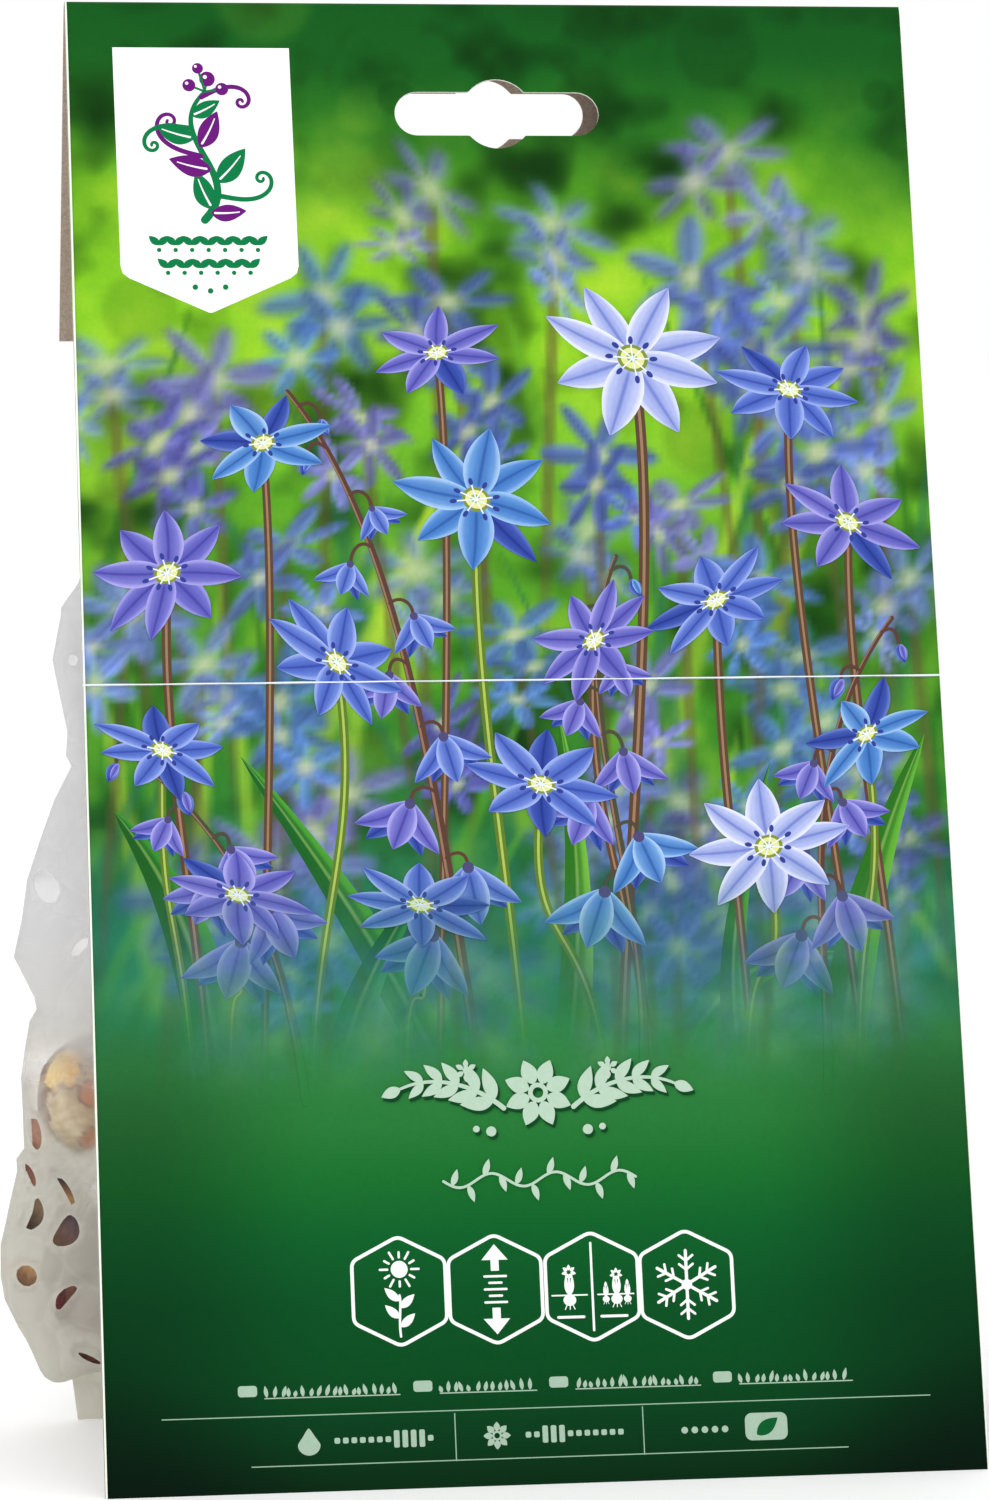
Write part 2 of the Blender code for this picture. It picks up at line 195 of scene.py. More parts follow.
def usedOnly(faces, *arrays):
    used, index = np.unique(faces, return_inverse=True)
    return (index.reshape(-1, 3), *(array[used] for array in arrays))


def rimFaces(faces, offset):
    # side walls between a sheet and its copy, along every edge that only one face has
    edges = np.concatenate([faces[:, [0, 1]], faces[:, [1, 2]], faces[:, [2, 0]]])
    _, first, times = np.unique(np.sort(edges, axis=1), axis=0, return_index=True, return_counts=True)
    a, b = edges[first[times == 1]].T
    return np.concatenate([np.stack([b, a, a + offset], -1), np.stack([b, a + offset, b + offset], -1)])


def vertexNormals(points, faces):
    corner = points[faces]
    normal = np.cross(corner[:, 1] - corner[:, 0], corner[:, 2] - corner[:, 0])
    total = np.zeros_like(points)
    for k in range(3):
        np.add.at(total, faces[:, k], normal)
    return total / (np.linalg.norm(total, axis=1, keepdims=True) + 1e-12)


def addPiece(name, points, faces, material, attributes=None, sharp=None):
    # points in world metres; attributes hold one colour (3 columns) or number per point
    mesh = bpy.data.meshes.new(name)
    mesh.vertices.add(len(points))
    mesh.vertices.foreach_set("co", np.ascontiguousarray(points, np.float32).ravel())
    mesh.loops.add(faces.size)
    mesh.loops.foreach_set("vertex_index", np.ascontiguousarray(faces, np.int32).ravel())
    mesh.polygons.add(len(faces))
    mesh.polygons.foreach_set("loop_start", np.arange(0, faces.size, 3, dtype=np.int32))
    mesh.polygons.foreach_set("loop_total", np.full(len(faces), 3, np.int32))
    mesh.update(calc_edges=True)
    mesh.validate()
    for key, values in (attributes or {}).items():
        if values.ndim == 2:
            layer = mesh.color_attributes.new(name=key, type="FLOAT_COLOR", domain="POINT")
            rgba = np.concatenate([values, np.ones((len(values), 1))], axis=1)
            layer.data.foreach_set("color", rgba.astype(np.float32).ravel())
        else:
            layer = mesh.attributes.new(name=key, type="FLOAT", domain="POINT")
            layer.data.foreach_set("value", values.astype(np.float32))
    mesh.shade_smooth()
    if sharp is not None:
        mesh.set_sharp_from_angle(angle=radians(sharp))
    made = bpy.data.objects.new(name, mesh)
    bpy.context.scene.collection.objects.link(made)
    made.data.materials.append(material)
    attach(made, "root")
    return made


def slab(top, bottom, faces):
    # a closed thin body from a sheet and its lower copy, whose points match one to one
    count = len(top)
    walls = rimFaces(faces, count)
    return np.concatenate([top, bottom]), np.concatenate([faces, faces[:, ::-1] + count, walls])


def joined(parts):
    # one body from several (points, faces, colours), each one's faces counted on past the points before
    starts = np.cumsum([0] + [len(points) for points, _, _ in parts[:-1]])
    return (np.concatenate([points for points, _, _ in parts]),
            np.concatenate([faces + start for (_, faces, _), start in zip(parts, starts)]),
            np.concatenate([colors for _, _, colors in parts]))


# ---- camera, floor and light ----

view = {"place": (-115.6, -745.1, 180.5), "turn": 8.18, "tilt": -5.55, "lens": 126.74, "sensor": 36.0}


def makeCamera():
    data = bpy.data.cameras.new("camera")
    data.lens = view["lens"]
    data.sensor_width = view["sensor"]
    camera = bpy.data.objects.new("camera", data)
    camera.location = toWorld(view["place"])
    camera.rotation_euler = (radians(90 + view["tilt"]), 0, -radians(view["turn"]))
    bpy.context.scene.collection.objects.link(camera)
    bpy.context.scene.camera = camera


light = {
    "sky": 1.0, "key": 4.0, "keySize": 0.9, "keyPlace": (-0.7, -0.9, 1.1), "keyAim": (0.7, 0.9, -1.0),
    "floorColor": "#ffffff", "floorPaintedGlow": 0.07, "floorSize": 6.0,
}


def makeStage():
    scene = bpy.context.scene
    scene.view_settings.view_transform = "Standard"
    world = bpy.data.worlds.new("studio")
    world.use_nodes = True
    background = world.node_tree.nodes["Background"]
    background.inputs["Color"].default_value = (1, 1, 1, 1)
    background.inputs["Strength"].default_value = light["sky"]
    scene.world = world
    # studio paper: matt, pale, lit evenly
    paper, _, shader = newMaterial("studioPaper")
    shader.inputs["Base Color"].default_value = (*linear(light["floorColor"]), 1)
    shader.inputs["Roughness"].default_value = 0.9
    # painted light: the paper glows a little by itself, so that shadows on it stay pale
    shader.inputs["Emission Color"].default_value = (1, 1, 1, 1)
    shader.inputs["Emission Strength"].default_value = light["floorPaintedGlow"]
    size = light["floorSize"]
    corners = [(-size, -size, 0), (size, -size, 0), (size, size, 0), (-size, size, 0)]
    mesh = bpy.data.meshes.new("floor")
    mesh.from_pydata(corners, [], [(0, 1, 2, 3)])
    floor = bpy.data.objects.new("floor", mesh)
    floor.data.materials.append(paper)
    scene.collection.objects.link(floor)
    lamp = bpy.data.lights.new("keyLight", "AREA")
    lamp.shape = "DISK"
    lamp.size = light["keySize"]
    lamp.energy = light["key"]
    key = bpy.data.objects.new("keyLight", lamp)
    key.location = light["keyPlace"]
    key.rotation_euler = Vector(light["keyAim"]).to_track_quat("-Z", "Y").to_euler()
    scene.collection.objects.link(key)


makeCamera()
makeStage()
print("camera and stage ready")

# ---- header card: the folded sheet as a surface of (x, run) ----

card = {
    "width": 130.0, "frontHeight": 226.75, "board": 0.5, "lean": radians(17.33),
    "foldRadius": 1.2, "flapLength": 51.0, "flapFlare": radians(6.9), "flapSkew": -0.7,
    "slotWidth": 31.6, "slotHeight": 7.0, "slotEye": 5.55, "slotDrop": 18.0, "slotShift": 0.8,
    "flapSlotDrop": 17.3, "flapSlotShift": 0.0, "slotStep": 0.6, "slotGap": 0.4,
    "creaseDrop": 107.0, "creaseWidth": 0.5, "creaseDepth": 0.12, "boardStep": 1.6,
    # heights over the board's face: the board's own skin, the underside and the top of the soft print
    "skin": -0.005, "underInk": -0.004, "ink": 0.03,
}
straight = card["frontHeight"] - card["foldRadius"]
foldTurn = pi - card["lean"] - card["flapFlare"]
foldLength = card["foldRadius"] * foldTurn
sheetLength = straight + foldLength + card["flapLength"]
frontUp = np.array([sin(card["lean"]), cos(card["lean"])])
frontOut = np.array([-cos(card["lean"]), sin(card["lean"])])
flapOut = np.array([cos(card["flapFlare"]), sin(card["flapFlare"])])
flapDown = np.array([sin(card["flapFlare"]), -cos(card["flapFlare"])])
foldCentre = frontUp * straight - frontOut * card["foldRadius"]
# how far up the sheet the crease and the middles of the two slots lie
creaseRun = card["frontHeight"] - card["creaseDrop"]
slotMiddles = (card["frontHeight"] - card["slotDrop"],
               straight + foldLength + card["flapSlotDrop"] - card["foldRadius"])


def sheetPoint(x, run, lift, groove=True):
    # run goes up the front from its bottom edge, round the fold and down the flap; lift is the
    # height over the printed face, below 0 inside the board
    angle = pi - card["lean"] - np.clip((run - straight) / foldLength, 0, 1) * foldTurn
    out = np.stack([np.cos(angle), np.sin(angle)], -1)
    base = frontUp * np.minimum(run, straight)[:, None]
    arc = foldCentre + out * card["foldRadius"]
    along = np.maximum(run - straight - foldLength, 0)
    place = np.where((run <= straight)[:, None], base, arc + flapDown * along[:, None])
    crease = np.clip(1 - np.abs(run - creaseRun) / (card["creaseWidth"] / 2), 0, 1)
    height = lift - np.where(lift > -card["board"] / 2, crease * card["creaseDepth"], 0) * groove
    place = place + out * height[:, None]
    shift = card["flapSkew"] * along / card["flapLength"]
    foot = np.maximum(place[:, 1], 0)
    return np.stack([x + shift, place[:, 0], foot], -1)


def slotLevel(x, run):
    # above 0 outside the two hanging slots: distance to a bar with round ends, joined to a round eye
    flat = []
    for middle, shift in zip(slotMiddles, (card["slotShift"], card["flapSlotShift"])):
        half = card["slotHeight"] / 2
        dx, dv = x - shift, run - middle
        bar = np.hypot(np.maximum(np.abs(dx) - card["slotWidth"] / 2 + half, 0), dv) - half
        flat.append(np.minimum(bar, np.hypot(dx, dv) - card["slotEye"]))
    return np.minimum(*flat)


def gridLines(low, high, step, zones):
    # even lines, and closer ones through the zones round the slots
    lines = np.linspace(low, high, max(2, int(round((high - low) / step)) + 1))
    for first, last in zones:
        fine = np.linspace(first, last, int(round((last - first) / card["slotStep"])) + 1)
        outside = (lines < first - card["slotGap"]) | (lines > last + card["slotGap"])
        lines = np.concatenate([lines[outside], fine])
    return np.sort(lines)


def sheetGrid(step, low, high):
    reach = card["slotEye"] + 1
    rows = gridLines(low, high, step, [(middle - reach, middle + reach) for middle in slotMiddles])
    creaseRows = creaseRun + np.array([-0.25, -0.12, 0.0, 0.12, 0.25])
    foldRows = straight + foldLength * np.linspace(0, 1, 17)
    rows = np.concatenate([rows, creaseRows, foldRows])
    rows = np.unique(rows[(rows >= low) & (rows <= high)].round(4))
    reach = card["slotWidth"] / 2 + 2
    columns = gridLines(-card["width"] / 2, card["width"] / 2, step, [(-reach, reach)])
    run, x = np.meshgrid(rows, columns, indexing="ij")
    return np.stack([x.ravel(), run.ravel()], -1), gridFaces(len(rows), len(columns))


def ontoOutline(x, y, level):
    # the step down the slope that lands a nearby point on the line where level is 0
    slopeX = (level(x + 0.01, y) - level(x - 0.01, y)) / 0.02
    slopeY = (level(x, y + 0.01) - level(x, y - 0.01)) / 0.02
    step = -np.clip(level(x, y), -0.5, 0.5) / np.maximum(slopeX ** 2 + slopeY ** 2, 0.5)
    return step * slopeX, step * slopeY


def cutSheet(step, low, high):
    # the cells round the slots are cut, then the cut points slide onto the slots' own curve
    flat, faces = sheetGrid(step, low, high)
    whole = len(flat)
    flat, faces = clipFaces(flat, faces, slotLevel(flat[:, 0], flat[:, 1]))
    for _ in range(2):
        flat[whole:] += np.stack(ontoOutline(*flat[whole:].T, slotLevel), -1)
    faces, flat = usedOnly(faces, flat)
    return flat, faces


# ---- card materials ----

def boardMaterial():
    # white-lined chipboard: a white clay liner outside, grey-brown recycled fibre behind, matt and
    # flecked; the cut edge shows the white liner over the grey core
    material, tree, shader = newMaterial("whiteLinedChipboard")
    depth = addNode(tree, "ShaderNodeAttribute", attribute_name="depth")
    place = addNode(tree, "ShaderNodeTexCoord")
    # fibres about 0.3 mm apart
    fibre = addNoise(tree, place, 2600.0, 4.0, Roughness=0.7).outputs["Fac"]
    pulp = [(0.30, linear("#a39282")), (0.52, linear("#bbaa99")), (0.72, linear("#cdbdac"))]
    core = addRamp(tree, fibre, pulp)
    shade = addNode(tree, "ShaderNodeMix", {"Factor": 0.25}, data_type="RGBA", blend_type="MULTIPLY",
                    links={"A": core, "B": addNoise(tree, place, 90.0).outputs["Fac"]})
    layer = addRamp(tree, depth.outputs["Fac"], [(0.0, (0, 0, 0)), (0.55, (0, 0, 0)), (0.85, (1, 1, 1))])
    color = addNode(tree, "ShaderNodeMix", data_type="RGBA",
                    links={"Factor": layer, "B": shade.outputs["Result"]})
    color.inputs["A"].default_value = (*linear("#f1f0ea"), 1)
    tree.links.new(color.outputs["Result"], shader.inputs["Base Color"])
    bump = addNode(tree, "ShaderNodeBump", {"Strength": 0.15, "Distance": 0.00005}, {"Height": fibre})
    tree.links.new(bump.outputs["Normal"], shader.inputs["Normal"])
    shader.inputs["Roughness"].default_value = 0.85
    return material


def inkMaterial():
    # offset print under a satin water varnish: the ink's own colours, a soft even sheen, a faint
    # orange-peel where the board's fibre shows through the coating about every 0.8 mm
    material, tree, shader = newMaterial("varnishedOffsetPrint")
    grainyColor(tree, shader, "ink", 1200.0, 2.0, 0.03, 0.06, 0.00004)
    shader.inputs["Roughness"].default_value = 0.5
    shader.inputs["Specular IOR Level"].default_value = 0.04
    return material


boardFinish = boardMaterial()
inkFinish = inkMaterial()


def makeBoard():
    flat, faces = cutSheet(card["boardStep"], 0.0, sheetLength)
    x, run = flat.T
    lift = np.full(len(flat), card["skin"])
    top = sheetPoint(x, run, lift)
    bottom = sheetPoint(x, run, lift - card["board"])
    points, faces = slab(toWorld(top), toWorld(bottom), faces)
    depth = np.concatenate([np.zeros(len(flat)), np.ones(len(flat))])
    board = addPiece("cardBoard", points, faces, boardFinish, {"depth": depth},
                     sharp=35)
    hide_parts("card")


makeBoard()
print("card board done")

# ---- print on the card: a soft garden picture worked out from formulas ----
# Places on the front are (x, drop): mm from the middle and mm down from the fold. Colours are mixed
# as sRGB values, the way a printer's picture is, and turned linear at the end.

picture = {
    "bands": [
        (0, "#13561d"), (10, "#175c1e"), (20, "#2a701f"), (30, "#4c9120"), (42, "#79bc22"), (56, "#86c628"),
        (74, "#69b028"), (92, "#4c9424"), (110, "#3a8226"), (126, "#2f7a2e"), (140, "#2c7644"),
        (152, "#2f7d50"), (164, "#2f7c3f"), (174, "#267535"), (182, "#176b2b"), (190, "#0c5d28"),
        (200, "#074f22"), (210, "#06491f"), (219, "#053a1a"), (226.75, "#052a12")],
    "seed": 11, "step": 0.8, "flapStep": 2.4, "half": 112.0, "discs": 170, "blades": 56,
    # how far down the artwork begins to sink into the plain foot, and where it has sunk
    "sink": (134, 166),
    "lime": "#c3e23c", "shade": "#0b2f0b", "earth": "#6d5a36", "worn": "#e6edf4", "mist": "#1f7068",
    "grass": ("#b4d83c", "#1d5a1a", "#5fa32a", "#2a6b4a"), "flap": "#0b4f24", "flapTop": "#17400f",
}


def evenTone(hexText, count):
    # the same colour for each of count points
    return np.broadcast_to(srgb(hexText), (count, 3)).copy()


def blend(color, over, share):
    return color + (over - color) * np.clip(share, 0, 1)[:, None]


def cloudValue(x, y, scale, seed):
    # smooth random hills between 0 and 1: a coarse and a finer lattice of values, eased between
    total = np.zeros(len(x))
    for octave, weight in ((1.0, 0.6), (2.1, 0.3), (4.3, 0.1)):
        draw = np.random.default_rng(seed)
        lattice = draw.uniform(0, 1, (128, 128))
        px, py = x * octave / scale + 40, y * octave / scale + 40
        ix, iy = np.floor(px).astype(int), np.floor(py).astype(int)
        fx, fy = smooth(0, 1, px - ix), smooth(0, 1, py - iy)
        a, b = lattice[iy % 128, ix % 128], lattice[iy % 128, (ix + 1) % 128]
        c, d = lattice[(iy + 1) % 128, ix % 128], lattice[(iy + 1) % 128, (ix + 1) % 128]
        total += weight * ((a + (b - a) * fx) * (1 - fy) + (c + (d - c) * fx) * fy)
        seed += 1
    return total


def bandColor(drop):
    stops = np.array([place for place, _ in picture["bands"]])
    tones = np.array([srgb(tone) for _, tone in picture["bands"]])
    return np.stack([np.interp(drop, stops, tones[:, k]) for k in range(3)], -1)


def gardenBackground(x, drop):
    # bands of colour from top to bottom, broken by foliage, soft round lights and blades of grass
    draw = np.random.default_rng(picture["seed"])
    garden = 1 - smooth(146, 172, drop)
    hills = cloudValue(x, drop, 21, 3)
    color = bandColor(drop + (hills - 0.5) * 30 * smooth(0, 30, drop) * garden)
    foliage = cloudValue(x, drop, 9, 17)
    color = blend(color, srgb(picture["shade"]), (0.52 - foliage) * 2.2 * garden)
    color = blend(color, srgb(picture["lime"]), (foliage - 0.56) * 1.5 * garden * smooth(6, 40, drop))
    for _ in range(picture["discs"]):
        cx, cd = draw.uniform(-68, 68), draw.uniform(-4, 160)
        size, edge = draw.uniform(2.5, 10), draw.uniform(0.25, 0.7)
        disc = 1 - smooth(size * (1 - edge), size, np.hypot(x - cx, drop - cd))
        bright = draw.uniform(-0.5, 0.6) - 0.30 * (cd < 25)
        tone = picture["lime"] if bright > 0 else picture["shade"]
        if draw.uniform() < 0.10 and cd > 60:
            tone = picture["earth"]
        color = blend(color, srgb(tone), disc * abs(bright) * 0.42 * garden)
    for _ in range(picture["blades"]):
        foot, tall = draw.uniform(95, 172), draw.uniform(25, 80)
        cx, lean, wide = draw.uniform(-70, 70), draw.uniform(-0.5, 0.5), draw.uniform(1.3, 2.6)
        up = np.clip((foot - drop) / tall, 0, 1)
        path = cx + lean * (foot - drop) + 7 * lean * up ** 2
        across = np.abs(x - path) / (wide * (1.15 - up))
        blade = (1 - smooth(0.2, 1.5, across)) * smooth(0, 0.08, up) * (1 - smooth(0.8, 1.0, up))
        tone = picture["grass"][draw.integers(len(picture["grass"]))]
        color = blend(color, srgb(tone), blade * 0.55 * garden)
    return color


softFlowers = {
    "seed": 5,
    "tones": ["#5a73c4", "#4a60b8", "#6c84d2", "#5556ae", "#7272c4", "#4a74bc"],
    "heart": "#cfd6a4", "stem": "#5b4a32",
    # (x, drop, size, blur) of the blossoms out of focus, farther ones first
    "places": [
        (36, 24, 10, 0.20), (-10, 30, 9, 0.24), (9, 36, 10, 0.20), (47, 38, 10, 0.22), (-27, 47, 10, 0.16),
        (57, 50, 9, 0.20), (-60, 58, 9, 0.22), (30, 44, 11, 0.12), (40, 56, 11, 0.14), (-8, 48, 10, 0.16),
        (-44, 60, 11, 0.13), (-53, 70, 10, 0.14), (58, 66, 9, 0.16), (48, 72, 10, 0.14),
        (-58, 96, 11, 0.12), (-47, 104, 9, 0.16), (12, 84, 8, 0.24), (-14, 90, 9, 0.24), (61, 92, 9, 0.18),
        (44, 104, 10, 0.16), (-26, 124, 11, 0.16), (-38, 134, 11, 0.16), (-52, 139, 10, 0.2),
        (24, 126, 9, 0.24), (8, 132, 9, 0.26), (58, 132, 9, 0.2), (30, 144, 12, 0.18), (44, 140, 10, 0.18),
        (-8, 151, 12, 0.30), (-22, 156, 11, 0.34), (14, 152, 12, 0.30), (-44, 155, 12, 0.30),
        (34, 158, 12, 0.34), (54, 153, 10, 0.34), (-22, 66, 9, 0.10), (-2, 64, 9, 0.12), (14, 72, 10, 0.10),
        (26, 80, 9, 0.12), (-34, 86, 10, 0.10), (0, 100, 10, 0.11), (20, 108, 9, 0.10), (-12, 114, 9, 0.10),
        (38, 92, 10, 0.10), (40, 118, 9, 0.12), (-36, 110, 10, 0.12), (14, 124, 9, 0.12),
        (52, 122, 9, 0.12), (-30, 146, 10, 0.16), (22, 138, 10, 0.14)],
}


def softFlower(color, x, drop, place, size, petals, turn, squash, tilt, blur, tone, heart):
    # a blossom out of focus: each petal is an ellipse, its edge spread evenly over the blur in mm
    near = np.flatnonzero((np.abs(x - place[0]) < size * 1.3) & (np.abs(drop - place[1]) < size * 1.3))
    px, py = turned(x[near] - place[0], drop[near] - place[1], -tilt)
    py = py / squash
    spread = size * blur
    cover, light = np.zeros(len(near)), np.zeros(len(near))
    for index in range(petals):
        angle = turn + index * 2 * pi / petals + 0.12 * sin(index * 2.7 + turn)
        a, b = turned(px, py, -angle)
        long, wide = size * 0.46, size * (0.17 + 0.03 * sin(index * 1.9))
        ka, kb = (a - 0.54 * size) / long, (b - 0.04 * size * sin(index * 4.1)) / wide
        reach = np.hypot(ka, kb)
        distance = (reach - 1) * reach / (np.hypot(ka / long, kb / wide) + 1e-9)
        part = 1 - smooth(-spread, spread, distance)
        vein = 1 - smooth(0.0, 0.5, np.abs(kb))
        shade = 0.5 + 0.35 * kb - 0.30 * vein + 0.25 * (1 - a / size)
        light = np.where(part > cover, shade, light)
        cover = np.maximum(cover, part)
    petal = tone * (0.80 + 0.32 * light[:, None]) + 0.10 * light[:, None]
    middle = 1 - smooth(0.06 * size, 0.06 * size + 2 * spread + 0.4, np.hypot(px, py))
    petal = blend(petal, heart, middle * 0.8)
    color[near] = blend(color[near], petal, np.maximum(cover, middle) * (0.97 - blur))


def paintPicture(x, drop):
    color = gardenBackground(x, drop)
    draw = np.random.default_rng(softFlowers["seed"])
    heart = srgb(softFlowers["heart"])
    for cx, cd, size, blur in softFlowers["places"]:
        tone = srgb(softFlowers["tones"][draw.integers(len(softFlowers["tones"]))])
        lean = draw.uniform(-0.12, 0.12)
        stem = np.abs(x - cx - lean * (drop - cd)) / (0.6 + 2 * blur)
        cover = (1 - smooth(0.4, 1.4, stem)) * smooth(cd, cd + 5, drop) * (1 - smooth(cd + 45, cd + 75, drop))
        color = blend(color, srgb(softFlowers["stem"]), cover * 0.5)
        for part in range(3):
            # each head carries a few blossoms close together
            side, low = (0, draw.uniform(-0.8, 0.8), draw.uniform(-0.9, 0.9))[part], part * 0.62
            place, shade = (cx + side * size * 0.7, cd + low * size * 0.8), tone * (0.92, 0.8, 1.05)[part]
            softFlower(color, x, drop, place, size * (1, 0.8, 0.7)[part], 6, draw.uniform(0, 6),
                       draw.uniform(0.5, 0.95), draw.uniform(-1.2, 1.2), blur, shade, heart)
    # the picture sinks into the plain green foot of the card
    color = blend(color, srgb(picture["mist"]), smooth(128, 144, drop) * (1 - smooth(150, 170, drop)) * 0.42)
    color = blend(color, bandColor(drop), smooth(140, 172, drop) ** 1.2)
    corner = np.hypot(x / 62, np.maximum(drop - 186, 0) / 44)
    dim = 1 - 0.30 * smooth(0.95, 1.35, corner) * smooth(190, 220, drop)
    side = 1 - 0.25 * smooth(30, 60, np.abs(x)) * smooth(150, 176, drop)
    return color * (dim * side)[:, None]


def flapColor(x, run):
    # the flap carries a plain green, darker to its edges
    along = run - straight - foldLength
    color = blend(evenTone(picture["flap"], len(x)), srgb(picture["flapTop"]), 1 - smooth(0, 10, along))
    return color * (1 - 0.18 * smooth(40, 66, np.abs(x)))[:, None]


def printColor(x, run):
    drop = card["frontHeight"] - run
    color = paintPicture(x, np.maximum(drop, 0))
    onFlap = smooth(straight + foldLength * 0.35, straight + foldLength, run)
    color = blend(color, flapColor(x, run), onFlap)
    crease = np.abs(drop - card["creaseDrop"])
    worn = (1 - smooth(0.07, 0.2, crease)) * (0.75 + 0.2 * np.sin(x / 3.1) * np.sin(x / 7.7))
    color = blend(color, srgb(picture["worn"]), worn)
    return toLinear(color)


def makePrint():
    # the sheet is inked in three parts, each one closed thin layer over the board
    half = picture["half"]
    bounds = [(0.0, half, picture["step"]), (half, straight, picture["step"]),
              (straight, sheetLength, picture["flapStep"])]
    for index, (low, high, step) in enumerate(bounds):
        flat, faces = cutSheet(step, low, high)
        x, run = flat.T
        top = sheetPoint(x, run, np.full(len(x), card["ink"]))
        bottom = sheetPoint(x, run, np.full(len(x), card["underInk"]))
        points, faces = slab(toWorld(top), toWorld(bottom), faces)
        ink = np.tile(printColor(x, run), (2, 1))
        addPiece(f"cardPrint{index + 1}", points, faces, inkFinish, {"ink": ink},
                 sharp=35)


makePrint()
print("card print done")

# ---- crisp artwork: flat shapes of ink stacked over the soft picture ----
# A shape is (places, faces, colours): places are (x, drop), colours sRGB, one for each place.

# each layer's height over the board's face, and how far each of its shapes rises over the one before
inkLifts = {
    "printedLeaves": (0.034, 0.0004), "printedSprays": (0.052, 0.0003), "printedStars": (0.145, 0.0003),
    "printedBadge": (0.034, 0.0008), "printedTitleShade": (0.30, 0.0004), "printedTitle": (0.33, 0.0004),
    "printedPictograms": (0.034, 0.0002), "printedFoot": (0.034, 0.0002), "printedFlap": (0.034, 0.0006),
    "printedCrease": (0.30, 0.0), "barePrintEdgeLeft": (0.31, 0.0), "barePrintEdgeRight": (0.31, 0.0),
}


def patchShape(rows, columns, place, tone):
    # place and tone are functions of u across (-1 to 1) and v along (0 to 1)
    v, u = np.meshgrid(np.linspace(0, 1, rows), np.linspace(-1, 1, columns), indexing="ij")
    u, v = u.ravel(), v.ravel()
    return np.stack(place(u, v), -1), gridFaces(rows, columns), np.clip(tone(u, v), 0, 1)


def polygonShape(outline, tone):
    outline = np.asarray(outline, float)
    count = len(outline)
    edges = [(i, (i + 1) % count) for i in range(count)]
    found = delaunay_2d_cdt([Vector(p) for p in outline], edges, [], 1, 1e-5)
    places, faces = np.array([tuple(p) for p in found[0]]), np.array(found[2])
    return places, faces, evenTone(tone, len(places))


def discShape(centre, radius, tone, sides, squash=1.0, turn=0.0):
    angle = np.arange(sides) * 2 * pi / sides
    ring = np.stack(turned(radius * np.cos(angle), radius * squash * np.sin(angle), turn, centre), -1)
    faces = fanFaces(0, 1 + np.arange(sides), 1 + (np.arange(sides) + 1) % sides)
    return np.concatenate([[centre], ring]), faces, evenTone(tone, sides + 1)


def strokeShape(path, width, tone, closed=False):
    # a ribbon along a path, width one number or one for each point; open ends are rounded
    path = np.asarray(path, float)
    count = len(path)
    width = np.broadcast_to(width, count).astype(float)
    if closed:
        first, second = unit(np.roll(path, -1, axis=0) - path), unit(path - np.roll(path, 1, axis=0))
        step = unit(first + second)
        mitre = 1 / np.maximum(0.3, (step * first).sum(axis=1))
    else:
        step = unit(np.gradient(path, axis=0))
        mitre = np.ones(count)
    side = np.stack([-step[:, 1], step[:, 0]], -1) * (width * mitre / 2)[:, None]
    places = np.stack([path - side, path + side], 1).reshape(-1, 2)
    if closed:
        return places, gridFaces(count + 1, 2) % (2 * count), evenTone(tone, 2 * count)
    faces = gridFaces(count, 2)
    turns = np.linspace(0, pi, 6)[1:-1, None]
    for end, sign, low, high in ((0, 1, 1, 0), (count - 1, -1, 2 * count - 2, 2 * count - 1)):
        bow = np.cos(turns) * side[end] - np.sin(turns) * step[end] * width[end] / 2
        fan = np.append(len(places) + np.arange(len(turns)), high)
        places = np.concatenate([places, path[end] + sign * bow])
        faces = np.concatenate([faces, fanFaces(low, fan[:-1], fan[1:])])
    return places, faces, evenTone(tone, len(places))


def bezier(a, b, c, d, count):
    t = np.linspace(0, 1, count)[:, None]
    a, b, c, d = (np.array(p, float) for p in (a, b, c, d))
    return a * (1 - t) ** 3 + 3 * b * t * (1 - t) ** 2 + 3 * c * t ** 2 * (1 - t) + d * t ** 3


def addInk(name, shapes, sinks=False):
    # each shape is a closed thin layer, a little higher than the one before it; what sinks fades into
    # the soft picture towards the card's plain foot
    lift, step = inkLifts[name]
    layers = []
    for order, (places, faces, tone) in enumerate(shapes):
        x, run = places[:, 0], card["frontHeight"] - places[:, 1]
        corner = np.stack([x, run], -1)[faces]
        first, second = corner[:, 1] - corner[:, 0], corner[:, 2] - corner[:, 0]
        area = first[:, 0] * second[:, 1] - first[:, 1] * second[:, 0]
        faces = np.where((area < 0)[:, None], faces[:, ::-1], faces)[np.abs(area) > 1e-9]
        top = sheetPoint(x, run, np.full(len(x), lift + order * step), groove=False)
        bottom = sheetPoint(x, run, np.full(len(x), card["ink"] - 0.01), groove=False)
        if sinks and places[:, 1].max() > picture["sink"][0]:
            tone = blend(tone, paintPicture(x, places[:, 1]), smooth(*picture["sink"], places[:, 1]) ** 0.8)
        layers.append((*slab(toWorld(top), toWorld(bottom), faces), np.tile(toLinear(tone), (2, 1))))
    points, faces, ink = joined(layers)
    addPiece(name, points, faces, inkFinish, {"ink": ink}, sharp=30)


petals = {
    # deep, middle and pale tone of each kind of blossom
    "blue": ("#2f429c", "#5b76cc", "#aabcf0"),
    "violet": ("#3f3c98", "#6c6cc4", "#b3aeea"),
    "ice": ("#6474c4", "#b2bdea", "#eef0fc"),
    "sky": ("#2a559f", "#5289cf", "#b0d0f2"),
    "shadow": ("#202f80", "#3c53ac", "#7388cc"),
}


